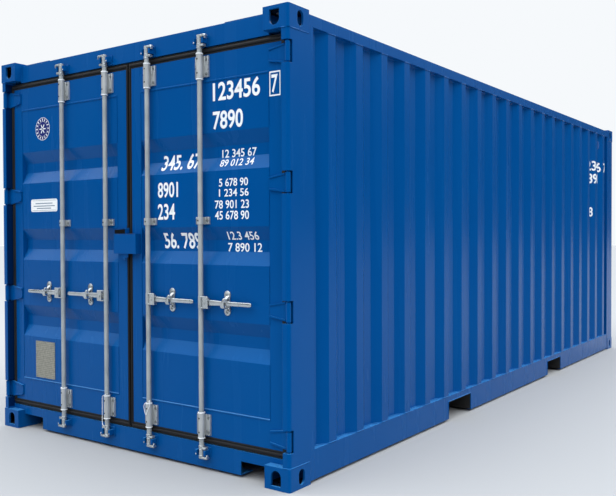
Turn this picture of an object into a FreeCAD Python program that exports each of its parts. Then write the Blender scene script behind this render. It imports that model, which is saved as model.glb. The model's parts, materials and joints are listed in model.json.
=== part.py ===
"""A twenty-foot dry-goods shipping container, eight feet high, as a parametric document.

Millimetres. The origin is on the ground under the middle of the container, +X runs to the
closed front end, +Y to the left-hand side as seen from the doors looking in, and +Z is up.
Each formula below is bound to the sheet's named sizes.
"""
import FreeCAD, Part
import os
import re
import Sketcher

doc = FreeCAD.newDocument("ShippingContainer")

# --- driving sizes ---------------------------------------------------------------------
SIZES = {
    # envelope
    "length": 6058, "width": 2438, "height": 2438,
    # corner castings: outer size, walls, and their three apertures
    "casting_long": 178, "casting_wide": 162, "casting_tall": 118,
    "casting_wall": 16, "casting_back": 12, "casting_base": 28.5, "casting_lid": 12,
    "slot_long": 124.5, "slot_wide": 63.5, "slot_from_end": 101.5, "slot_from_side": 89,
    "port_tall": 79.5, "end_port_wide": 63.5, "side_port_wide": 51, "casting_round": 12,
    # corner posts: pressed plate, closing channel, and the windows that the hinges work in
    "post_inset": 2, "post_plate": 6, "post_side": 216, "post_front": 46, "post_return": 60,
    "post_lip": 45, "post_round": 18, "front_post_front": 162, "front_post_lip": 65,
    "channel_deep": 113, "channel_plate": 12, "channel_face": 49, "channel_outer": 9,
    "window_side": 37, "window_tall": 114,
    # rails
    "rail_inset": 4, "rail_low": 15, "rail_top": 173, "rail_plate": 4.5,
    "rail_top_flange": 48, "rail_low_flange": 30,
    "top_rail": 60, "top_rail_plate": 3, "roof_line": 20, "front_rail_inset": 12,
    # doorway: face plane behind the end plane, sill and header
    "recess": 50, "sill_top": 145, "header_drop": 128, "frame_deep": 100, "header_plate": 4,
    "sill_notch_wide": 200, "sill_notch_top": 90,
    # pressed sheets
    "sheet": 2, "wall_inset": 43, "wall_depth": 36, "wall_bays": 20, "wall_flat": 71,
    "wall_slope": 70, "wall_tail": 30,
    "front_inset": 63, "front_depth": 45, "front_bays": 8, "front_flat": 110, "front_slope": 18,
    "roof_valley": 29, "roof_depth": 20, "roof_bays": 28, "roof_flat": 91,
    "roof_slope": 13.5,
    # floor
    "ply": 28, "floor_gap": 2, "member_tall": 122, "member_wide": 45, "member_plate": 4,
    "member_count": 5, "member_start": 80, "member_gap": 40,
    # fork pockets
    "fork_spacing": 2050, "fork_wide": 360, "fork_top": 130, "fork_plate": 6,
    # door leaves
    "seal_gap": 5, "gasket_lip": 37, "gasket_side": 9, "gasket_deep": 38,
    "leaf_thick": 50, "outer_stile": 100, "inner_stile": 80, "leaf_rail": 150,
    "leaf_plate": 3, "centre_lip": 21,
    "rib_count": 3, "rib_pitch": 508, "rib_tall": 206, "rib_slope": 72, "rib_depth": 35,
    "rib_low": 620,
    # hinges
    "pin_inset": 20, "pin_radius": 7, "pin_play": 0.3, "pin_over": 14, "lug_radius": 11.7,
    "lug_thick": 10, "knuckle_radius": 13, "knuckle_tall": 100, "blade_plate": 8,
    "blade_reach": 137, "blade_straight": 34, "blade_taper": 17, "hinge_inset": 65,
    "hinge_count": 4,
    # lock rods, cams and keepers
    "rod_inset": 23, "rod_radius": 13.6, "rod_bore": 10.6, "rod_near": 184, "rod_far": 598,
    "cam_round": 14, "cam_lobe": 34, "cam_half_wide": 12, "cam_plate": 12, "cam_tall": 64,
    "cam_level": 102, "cam_drop": 97,
    "keeper_plate": 5, "keeper_half_wide": 45, "keeper_half_tall": 28, "prong_inner": 24,
    "prong_wide": 14, "prong_half_tall": 15, "prong_reach": 41,
    # rod brackets
    "sleeve_play": 0.5, "sleeve_plate": 4.5, "sleeve_over": 14, "bracket_tall": 114,
    "bracket_half": 48, "bracket_in": 8, "bracket_plate": 8, "web_half": 14,
    "guide_level": 1368, "guide_tall": 40,
    # handles and retainers
    "handle_level": 925, "hub_half": 32, "hub_plate": 1.5, "ear_thick": 12, "ear_gap": 2,
    "ear_half": 22,
    "pivot_out": 40, "pivot_radius": 7, "handle_end": 360, "handle_half": 15,
    "handle_tip": 11.5, "handle_thick": 12, "handle_inset": 13, "retainer_out": 173,
    "retainer_half": 21, "retainer_tall": 134, "cradle_gap": 5, "cradle_lip": 5,
    "cradle_plate": 6, "cradle_half": 14,
    # lock box, data plate and ventilators
    "box_half": 95, "box_low": 1181, "box_tall": 118, "box_reach": 41, "box_plate": 4,
    "plate_out": 822, "plate_level": 475, "plate_wide": 200,
    "plate_tall": 240, "plate_thick": 3,
    "vent_wide": 66, "vent_tall": 90, "vent_thick": 22, "vent_drop": 68,
    "corner_plate_long": 300, "corner_plate": 4,
}

sheet = doc.addObject("Spreadsheet::Sheet", "Sizes")
for row, (alias, value) in enumerate(SIZES.items(), start=1):
    sheet.set("A%d" % row, alias)
    sheet.set("B%d" % row, str(value))
    sheet.setAlias("B%d" % row, alias)
doc.recompute()

# --- places that several pieces share --------------------------------------------------
REAR = "(0 - length / 2)"
RIGHT = "(0 - width / 2)"
FACE = "(recess - length / 2)"
PIN_X = "(pin_inset - length / 2)"
PIN_Y = "(pin_inset - width / 2)"
ROD_X = "(rod_inset - length / 2)"
HEADER_LOW = "(height - header_drop)"
ROOF_TOP = "(height - roof_line)"
TOP_RAIL_LOW = "(height - roof_line - top_rail)"
CASTING_IN_X = "(length / 2 - casting_long)"
CASTING_IN_Y = "(width / 2 - casting_wide)"
LEAF_LOW = "(sill_top + seal_gap + gasket_lip)"
LEAF_HIGH = "(height - header_drop - seal_gap - gasket_lip)"
LEAF_OUT = "(width / 2 - channel_face - seal_gap - gasket_side)"
LEAF_IN = "(seal_gap / 2 + centre_lip)"
HINGE_STEP = "((%s - %s - 2 * hinge_inset) / (hinge_count - 1))" % (LEAF_HIGH, LEAF_LOW)
FLOOR_LOW = "(rail_top - ply - 1)"
INSIDE_X = "(recess + frame_deep - length / 2)"
FORK_HALF = "(fork_wide / 2 + fork_plate)"
WEB_Y = "(width / 2 - rail_inset - rail_plate)"


# --- helpers -----------------------------------------------------------------------------
def bind(thing, field, formula):
    """Bind a property to a formula in the sheet's named sizes."""
    def named(match):
        return "Sizes." + match.group() if match.group() in SIZES else match.group()
    thing.setExpression(field, re.sub(r"[A-Za-z_]+", named, formula))


def place(thing, spot):
    for axis, formula in zip("xyz", spot):
        bind(thing, "Placement.Base." + axis, formula)


def block(name, low, size):
    """A rectangular block from its low corner and its size."""
    piece = doc.addObject("Part::Box", name)
    for field, formula in zip(("Length", "Width", "Height"), size):
        bind(piece, field, formula)
    place(piece, low)
    return piece


def rod(name, foot, radius, reach, along="z"):
    """A cylinder from the middle of its foot, along x, y or z."""
    piece = doc.addObject("Part::Cylinder", name)
    bind(piece, "Radius", radius)
    bind(piece, "Height", reach)
    turns = {"x": FreeCAD.Rotation(FreeCAD.Vector(0, 1, 0), 90),
             "y": FreeCAD.Rotation(FreeCAD.Vector(1, 0, 0), -90),
             "z": FreeCAD.Rotation()}
    piece.Placement = FreeCAD.Placement(FreeCAD.Vector(), turns[along])
    place(piece, foot)
    return piece


def fused(name, pieces):
    piece = doc.addObject("Part::MultiFuse", name)
    piece.Shapes = pieces
    piece.Refine = True
    return piece


def cut(name, base, tools):
    piece = doc.addObject("Part::Cut", name)
    piece.Base = base
    piece.Tool = tools[0] if len(tools) == 1 else fused(name + "_tools", tools)
    piece.Refine = True
    return piece


def mirrored(name, source, normal, middle=("0", "0", "0")):
    piece = doc.addObject("Part::Mirroring", name)
    piece.Source = source
    piece.Normal = FreeCAD.Vector(*normal)
    for axis, formula in zip("xyz", middle):
        bind(piece, "Base." + axis, formula)
    return piece


def compound(name, pieces):
    piece = doc.addObject("Part::Compound", name)
    piece.Links = pieces
    return piece


ACROSS = (0, 1, 0)
ENDWISE = (1, 0, 0)
UPRIGHT = (0, 0, 1)


def origin_item(body, role):
    return next(item for item in body.Origin.OriginFeatures if item.Role == role)


def outline(body, plane, corners):
    """A closed sketch on one of the body's own planes, each corner bound to two formulas."""
    sketch = body.newObject("Sketcher::SketchObject", body.Name + "_outline")
    sketch.AttachmentSupport = [(origin_item(body, plane), "")]
    sketch.MapMode = "FlatFace"
    count = len(corners)
    spots = [FreeCAD.Vector(100, 0, 0)]
    turn = FreeCAD.Rotation(FreeCAD.Vector(0, 0, 1), 360.0 / count)
    while len(spots) < count:
        spots.append(turn.multVec(spots[-1]))
    for index, spot in enumerate(spots):
        sketch.addGeometry(Part.LineSegment(spot, spots[(index + 1) % count]), False)
    for index in range(count):
        following = (index + 1) % count
        sketch.addConstraint(Sketcher.Constraint("Coincident", index, 2, following, 1))
    for index, (across, up) in enumerate(corners):
        for kind, value, formula in (("DistanceX", spots[index].x, across),
                                     ("DistanceY", spots[index].y, up)):
            number = sketch.addConstraint(Sketcher.Constraint(kind, -1, 1, index, 1, value))
            bind(sketch, "Constraints[%d]" % number, formula)
    return sketch


def padded(name, plane, corners, reach, spot=("0", "0", "0")):
    """A body with one pad: its outline on a plane, its reach along that plane's normal."""
    body = doc.addObject("PartDesign::Body", name)
    place(body, spot)
    pad = body.newObject("PartDesign::Pad", name + "_pad")
    pad.Profile = outline(body, plane, corners)
    pad.Profile[0].Visibility = False
    bind(pad, "Length", reach)
    body.Tip = pad
    return body


def pocket(body, plane, low, high, backwards):
    """A rectangular cut right through the body, on one side of the plane."""
    corners = [(low[0], low[1]), (high[0], low[1]), (high[0], high[1]), (low[0], high[1])]
    hole = body.newObject("PartDesign::Pocket", body.Name + "_pocket")
    hole.Profile = outline(body, plane, corners)
    hole.Type = "ThroughAll"
    hole.Reversed = backwards
    body.Tip = hole
    return hole


def repeated(body, feature, axis, reach, count):
    """Repeat the body's last feature along an axis, over a reach from first to last."""
    pattern = body.newObject("PartDesign::LinearPattern", body.Name + "_pattern")
    pattern.Originals = [feature]
    pattern.Direction = (origin_item(body, axis), [""])
    bind(pattern, "Length", reach)
    bind(pattern, "Occurrences", count)
    body.Tip = pattern
    return pattern


def upright_edges(shape, x, y):
    """The names of the upright edges at one place in plan."""
    names = []
    for number, edge in enumerate(shape.Edges, start=1):
        at_place = [abs(v.X - x) < 0.01 and abs(v.Y - y) < 0.01 for v in edge.Vertexes]
        if len(at_place) == 2 and all(at_place):
            names.append("Edge%d" % number)
    return names


def rounded(body, x, y, radius):
    """Round the upright edges of the body's last feature at one place in plan."""
    doc.recompute()
    feature = body.Tip
    fillet = body.newObject("PartDesign::Fillet", body.Name + "_round")
    fillet.Base = (feature, upright_edges(feature.Shape, x, y))
    bind(fillet, "Radius", radius)
    body.Tip = fillet


NODES = []


def node(label, piece):
    """Mark a finished sub-part: its label is the name of its file."""
    piece.Label = label
    NODES.append(piece)
    return piece


def four_corners(name, piece):
    across = mirrored(name + "_left", piece, ACROSS)
    return [piece, across, mirrored(name + "_front", piece, ENDWISE),
            mirrored(name + "_front_left", across, ENDWISE)]


def both_sides(name, piece):
    return [piece, mirrored(name + "_left", piece, ACROSS)]


# --- corner castings ---------------------------------------------------------------------
def stadium(name, middle, wide, tall, deep, along):
    """An upright slot with round ends, pushed in along x or y from its middle point."""
    half = "(%s - %s) / 2" % (tall, wide)
    x, y, z = middle
    ends = [rod(name + "_end", (x, y, "%s %s %s" % (z, sign, half)), wide + " / 2", deep, along)
            for sign in "+-"]
    if along == "x":
        core = block(name + "_core", (x, "%s - %s / 2" % (y, wide), "%s - %s" % (z, half)),
                     (deep, wide, "%s - %s" % (tall, wide)))
    else:
        core = block(name + "_core", ("%s - %s / 2" % (x, wide), y, "%s - %s" % (z, half)),
                     (wide, deep, "%s - %s" % (tall, wide)))
    return ends + [core]


def bottom_casting():
    outer = block("casting_block", (REAR, RIGHT, "0"),
                  ("casting_long", "casting_wide", "casting_tall"))
    doc.recompute()
    outer_round = doc.addObject("Part::Fillet", "casting_outer")
    outer_round.Base = outer
    radius = sheet.get("casting_round")
    names = upright_edges(outer.Shape, -sheet.get("length") / 2, -sheet.get("width") / 2)
    outer_round.Edges = [(int(name[4:]), radius, radius) for name in names]
    cavity = block("casting_cavity",
                   (REAR + " + casting_wall", RIGHT + " + casting_wall", "casting_base"),
                   ("casting_long - casting_wall - casting_back",
                    "casting_wide - casting_wall - casting_back",
                    "casting_tall - casting_base - casting_lid"))
    slot_x = REAR + " + slot_from_end"
    slot_y = RIGHT + " + slot_from_side"
    half = "(slot_long - slot_wide) / 2"
    slot = [rod("slot_end", ("%s %s %s" % (slot_x, sign, half), slot_y, "-1"),
                "slot_wide / 2", "casting_base + 2") for sign in "+-"]
    slot.append(block("slot_core", (slot_x + " - " + half, slot_y + " - slot_wide / 2", "-1"),
                      ("slot_long - slot_wide", "slot_wide", "casting_base + 2")))
    middle = "casting_tall / 2"
    end_port = stadium("end_port", (REAR + " - 1", slot_y, middle), "end_port_wide",
                       "port_tall", "casting_wall + 2", "x")
    # The end port is square at the side of the slot, so that it reads as a shield.
    end_port.append(block("end_port_square",
                          (REAR + " - 1", slot_y + " - end_port_wide / 2",
                           "casting_tall / 2 - port_tall / 2"),
                          ("casting_wall + 2", "end_port_wide", "port_tall / 2")))
    side_port = stadium("side_port", (slot_x, RIGHT + " - 1", middle), "side_port_wide",
                        "port_tall", "casting_wall + 2", "y")
    return cut("casting", outer_round, [cavity] + slot + end_port + side_port)


casting = bottom_casting()
top_casting = mirrored("top_casting", casting, UPRIGHT, ("0", "0", "height / 2"))
node("bottom_corner_castings", compound("bottom_castings", four_corners("casting", casting)))
node("top_corner_castings", compound("top_castings", four_corners("top_casting", top_casting)))


# --- corner posts ------------------------------------------------------------------------
def post_plate(name, front, back_lip, front_lip):
    """A pressed corner plate, standing beside and between the two castings."""
    def at(from_end, from_side):
        return (REAR + " + " + from_end, RIGHT + " + " + from_side)
    inner = "(post_inset + post_plate)"
    corners = [at(front_lip, front), at("post_inset", front), at("post_inset", "post_inset"),
               at("post_side", "post_inset"), at("post_side", back_lip),
               at("post_side - post_plate", back_lip), at("post_side - post_plate", inner),
               at(inner, inner), at(inner, front + " - post_plate"),
               at(front_lip, front + " - post_plate")]
    body = padded(name, "XY_Plane", corners, TOP_RAIL_LOW + " - rail_low",
                  ("0", "0", "rail_low"))
    corner = (-sheet.get("length") / 2 + sheet.get("post_inset"),
              -sheet.get("width") / 2 + sheet.get("post_inset"))
    plate = sheet.get("post_plate")
    rounded(body, corner[0], corner[1], "post_round")
    rounded(body, corner[0] + plate, corner[1] + plate, "post_round - post_plate")
    end = REAR + " - 1"
    inside = REAR + " + casting_long"
    pocket(body, "XZ_Plane", (end, "-1"), (inside, "casting_tall - rail_low"), True)
    pocket(body, "XZ_Plane", (end, "height - casting_tall - rail_low"), (inside, "height"), True)
    return body


def hinge_windows(body):
    middle = "%s + hinge_inset - rail_low" % LEAF_LOW
    window = pocket(body, "XZ_Plane", (REAR + " - 1", middle + " - window_tall / 2"),
                    (REAR + " + window_side", middle + " + window_tall / 2"), True)
    repeated(body, window, "Z_Axis", "%s * (hinge_count - 1)" % HINGE_STEP, "hinge_count")


def closing_channel():
    """The heavy channel that closes the rear post and faces the doorway."""
    near = REAR + " + post_return"
    far = REAR + " + post_return + channel_deep"
    face = RIGHT + " + channel_face"
    outer = RIGHT + " + channel_outer"
    corners = [(near, outer), (near, face), (far, face), (far, outer),
               (far + " - channel_plate", outer),
               (far + " - channel_plate", face + " - channel_plate"),
               (near + " + channel_plate", face + " - channel_plate"),
               (near + " + channel_plate", outer)]
    return padded("closing_channel", "XY_Plane", corners, "height - 2 * casting_tall",
                  ("0", "0", "casting_tall"))


rear_plate = post_plate("rear_plate", "post_front", "post_lip", "post_return")
hinge_windows(rear_plate)
rear_post_whole = fused("rear_post_whole", [rear_plate, closing_channel()])
# At each hinge the inner return of the plate is cut away too, for the hinge blade to pass.
blade_gaps = [block("blade_gap", (REAR + " + window_side - 1",
                                  RIGHT + " + post_front - post_plate - 1",
                                  "%s + hinge_inset + %s * %d - window_tall / 2"
                                  % (LEAF_LOW, HINGE_STEP, number)),
                    ("post_return - window_side + 1", "post_plate + 2", "window_tall"))
              for number in range(int(sheet.get("hinge_count")))]
rear_post = cut("rear_post", rear_post_whole, blade_gaps)
node("rear_corner_posts", compound("rear_posts", both_sides("rear_post", rear_post)))

front_plate = post_plate("front_plate", "front_post_front", "post_lip", "front_post_lip")
front_post = mirrored("front_post", front_plate, ENDWISE)
node("front_corner_posts", compound("front_posts", both_sides("front_post", front_post)))


# --- rails, header and sill --------------------------------------------------------------
def tube(name, low, size, wall, along):
    """A rectangular hollow section, open at its two ends along x, y or z."""
    outer = block(name + "_outer", low, size)
    inner_low = [c if axis == along else "%s + %s" % (c, wall)
                 for axis, c in zip("xyz", low)]
    inner_size = [c if axis == along else "%s - 2 * %s" % (c, wall)
                  for axis, c in zip("xyz", size)]
    return cut(name, outer, [block(name + "_inner", inner_low, inner_size)])


side_rail_start = REAR + " + post_side"
rail_out = RIGHT + " + rail_inset"
rail_corners = [(rail_out, "rail_low"), (rail_out, "rail_top"),
                (rail_out + " + rail_top_flange", "rail_top"),
                (rail_out + " + rail_top_flange", "rail_top - rail_plate"),
                (rail_out + " + rail_plate", "rail_top - rail_plate"),
                (rail_out + " + rail_plate", "rail_low + rail_plate"),
                (rail_out + " + rail_low_flange", "rail_low + rail_plate"),
                (rail_out + " + rail_low_flange", "rail_low")]
bottom_rail = padded("bottom_rail", "YZ_Plane", rail_corners, "length - 2 * post_side",
                     (side_rail_start, "0", "0"))
for sign in ("0 - fork_spacing / 2", "fork_spacing / 2"):
    fork_middle = "%s - (%s)" % (sign, side_rail_start)
    pocket(bottom_rail, "XZ_Plane", (fork_middle + " - " + FORK_HALF, "0"),
           (fork_middle + " + " + FORK_HALF, "fork_top + fork_plate"), True)
node("bottom_side_rails", compound("bottom_rails", both_sides("bottom_rail", bottom_rail)))

top_rail = tube("top_rail", ("0 - " + CASTING_IN_X, RIGHT + " + post_inset", TOP_RAIL_LOW),
                ("2 * " + CASTING_IN_X, "top_rail", "top_rail"), "top_rail_plate", "x")
node("top_side_rails", compound("top_rails", both_sides("top_rail", top_rail)))

front_rail_x = "length / 2 - front_rail_inset - top_rail"
node("front_top_rail", tube("front_top", (front_rail_x, "0 - " + CASTING_IN_Y, TOP_RAIL_LOW),
                            ("top_rail", "2 * " + CASTING_IN_Y, "top_rail"),
                            "top_rail_plate", "y"))
node("front_bottom_rail", tube("front_low", (front_rail_x, "0 - " + CASTING_IN_Y, "rail_low"),
                               ("top_rail", "2 * " + CASTING_IN_Y,
                                "rail_top - rail_low"),
                               "rail_plate", "y"))
node("door_header", tube("header", (FACE, "0 - " + CASTING_IN_Y, HEADER_LOW),
                         ("frame_deep", "2 * " + CASTING_IN_Y,
                          "header_drop - roof_line"),
                         "header_plate", "y"))

sill_corners = [(FACE, "rail_low"), (FACE, "sill_top"), (INSIDE_X, "sill_top"),
                (INSIDE_X, "sill_top - rail_plate"),
                (FACE + " + rail_plate", "sill_top - rail_plate"),
                (FACE + " + rail_plate", "rail_low + rail_plate"),
                (INSIDE_X, "rail_low + rail_plate"), (INSIDE_X, "rail_low")]
sill_half = "(width / 2 - channel_face)"
sill = padded("sill", "XZ_Plane", sill_corners, "2 * " + sill_half, ("0", sill_half, "0"))
# Its ends stand on the castings, and beside each casting it is notched.
notch_in = "(%s - sill_notch_wide)" % CASTING_IN_Y
for low, high, top in ((CASTING_IN_Y, "width", "casting_tall"),
                       (notch_in, CASTING_IN_Y, "sill_notch_top")):
    pocket(sill, "YZ_Plane", (low + " - " + sill_half, "0"), (high + " - " + sill_half, top),
           False)
    pocket(sill, "YZ_Plane", ("0 - %s - %s" % (high, sill_half), "0"),
           ("0 - %s - %s" % (low, sill_half), top), False)
node("door_sill", sill)


# --- pressed walls and roof ----------------------------------------------------------------
def corrugated(name, plane, axis, run, bays, tail, flat, slope, depth, reach, spot, turn):
    """A pressed sheet: bays of flat, slope, ridge and slope, closed by a last flat.

    turn puts a point (along the run, out from the inner face) into the sketch's plane.
    """
    pitch = "((%s - %s) / %s)" % (run, tail, bays)
    rise = "(%s + %s)" % (flat, slope)
    fall = "(%s - %s)" % (pitch, slope)
    line = [("0", "0"), (flat, "0"), (rise, depth), (fall, depth), (pitch, "0")]
    back = [(along, "%s + sheet" % out) for along, out in reversed(line)]
    body = padded(name, plane, [turn(*corner) for corner in line + back], reach, spot)
    repeated(body, body.Tip, axis, "%s * (%s - 1)" % (pitch, bays), bays)
    start = "(%s * %s)" % (pitch, bays)
    end = "(%s + %s)" % (start, tail)
    last = [(start, "0"), (end, "0"), (end, "sheet"), (start, "sheet")]
    pad = body.newObject("PartDesign::Pad", name + "_last")
    pad.Profile = outline(body, plane, [turn(*corner) for corner in last])
    bind(pad, "Length", reach)
    body.Tip = pad
    return body


side_wall = corrugated("side_wall", "XY_Plane", "X_Axis", "(length - 2 * post_side)",
                       "wall_bays", "wall_tail", "wall_flat", "wall_slope", "wall_depth",
                       TOP_RAIL_LOW + " - rail_top",
                       (side_rail_start, RIGHT + " + wall_inset", "rail_top"),
                       lambda along, out: (along, "0 - (%s)" % out))
node("right_side_wall", side_wall)
node("left_side_wall", mirrored("side_wall_left", side_wall, ACROSS))

front_wall = corrugated("front_wall_sheet", "XY_Plane", "Y_Axis", "(2 * %s)" % CASTING_IN_Y,
                        "front_bays", "front_flat", "front_flat", "front_slope",
                        "front_depth", TOP_RAIL_LOW + " - rail_top",
                        ("length / 2 - front_inset", "0 - " + CASTING_IN_Y, "rail_top"),
                        lambda along, out: (out, along))
node("front_wall", front_wall)

roof_run = "(%s - %s)" % (front_rail_x, INSIDE_X)
roof_half = "(width / 2 - post_inset - top_rail)"
roof = corrugated("roof_sheet", "XZ_Plane", "X_Axis", roof_run, "roof_bays", "roof_flat",
                  "roof_flat", "roof_slope", "roof_depth", "2 * " + roof_half,
                  (INSIDE_X, roof_half, "height - roof_valley"),
                  lambda along, out: (along, out))
# Each corner of the roof sheet is cut away round its casting.
for x_low, x_high in (("0 - length", "0 - " + CASTING_IN_X), (CASTING_IN_X, "length")):
    for y_low, y_high in (("0 - width", "0 - " + CASTING_IN_Y), (CASTING_IN_Y, "width")):
        pocket(roof, "XY_Plane",
               ("%s - %s" % (x_low, INSIDE_X), "%s - %s" % (y_low, roof_half)),
               ("%s - %s" % (x_high, INSIDE_X), "%s - %s" % (y_high, roof_half)), True)
node("roof", roof)


# --- floor, cross members and fork pockets -------------------------------------------------
floor_half = "(width / 2 - rail_inset - rail_top_flange - floor_gap)"
node("plywood_floor", block("floor", (INSIDE_X, "0 - " + floor_half, FLOOR_LOW),
                            ("%s - %s" % (front_rail_x, INSIDE_X), "2 * " + floor_half,
                             "ply")))

member_low = "(%s - member_tall)" % FLOOR_LOW


def cross_member(name, x):
    """A pressed channel on its side, from one side rail's web to the other."""
    outer = block(name + "_outer", (x, "0 - " + WEB_Y, member_low),
                  ("member_wide", "2 * " + WEB_Y, "member_tall"))
    inner = block(name + "_inner",
                  (x + " + member_plate", "0 - " + WEB_Y, member_low + " + member_plate"),
                  ("member_wide", "2 * " + WEB_Y, "member_tall - 2 * member_plate"))
    return cut(name, outer, [inner])


end_run = "(length / 2 - recess - frame_deep - fork_spacing / 2 - %s" % FORK_HALF
end_run += " - member_start - member_wide - member_gap)"
middle_run = "(fork_spacing - 2 * %s - 2 * member_gap - member_wide)" % FORK_HALF
members = []
for index in range(int(sheet.get("member_count"))):
    share = "%d / (member_count - 1)" % index
    x = "%s + member_start + %s * %s" % (INSIDE_X, end_run, share)
    rear = cross_member("rear_member", x)
    members += [rear, mirrored("front_member", rear, ENDWISE)]
    x = "0 - %s / 2 - member_wide / 2 + %s * %s" % (middle_run, middle_run, share)
    members.append(cross_member("middle_member", x))
node("floor_cross_members", compound("members", members))

pocket_outer = block("pocket_outer", ("fork_spacing / 2 - " + FORK_HALF, "0 - " + WEB_Y,
                                      "rail_low + rail_plate"),
                     ("2 * " + FORK_HALF, "2 * " + WEB_Y,
                      "fork_top + fork_plate - rail_low - rail_plate"))
pocket_inner = block("pocket_inner", ("fork_spacing / 2 - fork_wide / 2", "0 - " + WEB_Y,
                                      "0"),
                     ("fork_wide", "2 * " + WEB_Y, "fork_top"))
fork_pocket = cut("fork_pocket", pocket_outer, [pocket_inner])
node("fork_pockets", compound("pockets", [fork_pocket,
                                          mirrored("rear_pocket", fork_pocket, ENDWISE)]))

# --- small pieces on the frame -------------------------------------------------------------
plate_y = CASTING_IN_Y + " - corner_plate_long"
plates = [block("rear_plate_left", (FACE, plate_y, ROOF_TOP),
                ("frame_deep", "corner_plate_long", "corner_plate")),
          block("front_plate_left", (front_rail_x, plate_y, ROOF_TOP),
                ("top_rail", "corner_plate_long", "corner_plate"))]
plates += [mirrored("plate_right", plate, ACROSS) for plate in plates]
node("roof_corner_plates", compound("corner_plates", plates))

wall_pitch = "((length - 2 * post_side - wall_tail) / wall_bays)"


def ventilator(name, bay):
    """A shallow cowl on one inner flat of the right-hand wall, close under the top rail."""
    x = "(%s + %s * %s + (wall_flat - vent_wide) / 2)" % (side_rail_start, wall_pitch, bay)
    return block(name, (x, RIGHT + " + wall_inset - sheet - vent_thick",
                        TOP_RAIL_LOW + " - vent_drop - vent_tall"),
                 ("vent_wide", "vent_thick", "vent_tall"))


node("ventilators", compound("vents", [
    ventilator("front_vent", "(wall_bays - 1)"),
    mirrored("rear_vent_left", ventilator("rear_vent", "1"), ACROSS)]))


def hinge_levels():
    """The middle height of each hinge, lowest first."""
    return ["(%s + hinge_inset + %s * %d)" % (LEAF_LOW, HINGE_STEP, number)
            for number in range(int(sheet.get("hinge_count")))]


pins = []
for level in hinge_levels():
    low = level + " - window_tall / 2 - pin_over"
    pin = rod("pin", (PIN_X, PIN_Y, low), "pin_radius", "window_tall + 2 * pin_over")
    lugs = [rod("lug", (PIN_X, PIN_Y, level + place_of), "lug_radius", "lug_thick")
            for place_of in (" - window_tall / 2 - lug_thick", " + window_tall / 2")]
    pins.append(fused("hinge_pin", [pin] + lugs))
pins += [mirrored("hinge_pin_left", pin, ACROSS) for pin in pins]
node("hinge_pins", compound("pins", pins))

ROD_PLACES = {"1": ("rod_far", 1), "2": ("rod_near", 1), "3": ("rod_near", -1),
              "4": ("rod_far", -1)}


def rod_y(number):
    alias, side = ROD_PLACES[number]
    return alias if side > 0 else "(0 - %s)" % alias


def cam_levels():
    return ["cam_level", "(height - cam_drop)"]


keepers = []
for number in ROD_PLACES:
    for level in cam_levels():
        y = rod_y(number)
        base = block("keeper_base", (FACE + " - keeper_plate", y + " - keeper_half_wide",
                                     level + " - keeper_half_tall"),
                     ("keeper_plate", "2 * keeper_half_wide", "2 * keeper_half_tall"))
        prongs = [block("prong", (FACE + " - prong_reach", y + across,
                                  level + " - prong_half_tall"),
                        ("prong_reach", "prong_wide", "2 * prong_half_tall"))
                  for across in (" + prong_inner", " - prong_inner - prong_wide")]
        keepers.append(fused("keeper", [base] + prongs))
node("cam_keepers", compound("keepers", keepers))


# --- door leaves -----------------------------------------------------------------------------
leaf_wide = "(%s - %s)" % (LEAF_OUT, LEAF_IN)
leaf_tall = "(%s - %s)" % (LEAF_HIGH, LEAF_LOW)


def leaf_frame():
    """Two upright and two level hollow sections, welded into the right-hand leaf's frame."""
    outer_y = "(0 - %s)" % LEAF_OUT
    stiles = [tube("outer_stile", (FACE, outer_y, LEAF_LOW),
                   ("leaf_thick", "outer_stile", leaf_tall), "leaf_plate", "z"),
              tube("inner_stile", (FACE, "0 - %s - inner_stile" % LEAF_IN, LEAF_LOW),
                   ("leaf_thick", "inner_stile", leaf_tall), "leaf_plate", "z")]
    rails = [tube("leaf_rail", (FACE, outer_y + " + outer_stile", low),
                  ("leaf_thick", leaf_wide + " - outer_stile - inner_stile", "leaf_rail"),
                  "leaf_plate", "y")
             for low in (LEAF_LOW, LEAF_HIGH + " - leaf_rail")]
    return fused("leaf_frame", stiles + rails)


def leaf_panel():
    """The pressed sheet between the stiles, with its level recesses."""
    low = "(%s + leaf_rail)" % LEAF_LOW
    high = "(%s - leaf_rail)" % LEAF_HIGH
    line = [(FACE, low)]
    deep = FACE + " + rib_depth"
    for number in range(int(sheet.get("rib_count"))):
        foot = "(rib_low + rib_pitch * %d)" % number
        line += [(FACE, foot), (deep, foot + " + rib_slope"),
                 (deep, foot + " + rib_tall - rib_slope"), (FACE, foot + " + rib_tall")]
    line.append((FACE, high))
    back = [(x + " + sheet", z) for x, z in reversed(line)]
    reach = leaf_wide + " - outer_stile - inner_stile"
    return padded("leaf_panel", "XZ_Plane", line + back, reach,
                  ("0", "0 - %s - inner_stile" % LEAF_IN, "0"))


def leaf_gasket():
    """The rubber section round the leaf, standing proud of its edges into the doorway."""
    outer_y = "(width / 2 - channel_face - seal_gap)"
    outer = block("gasket_outer", (FACE, "0 - " + outer_y, "sill_top + seal_gap"),
                  ("gasket_deep", outer_y + " - seal_gap / 2",
                   HEADER_LOW + " - sill_top - 2 * seal_gap"))
    inner = block("gasket_inner", (FACE, "0 - " + LEAF_OUT, LEAF_LOW),
                  ("gasket_deep", leaf_wide, leaf_tall))
    return cut("leaf_gasket", outer, [inner])


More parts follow.
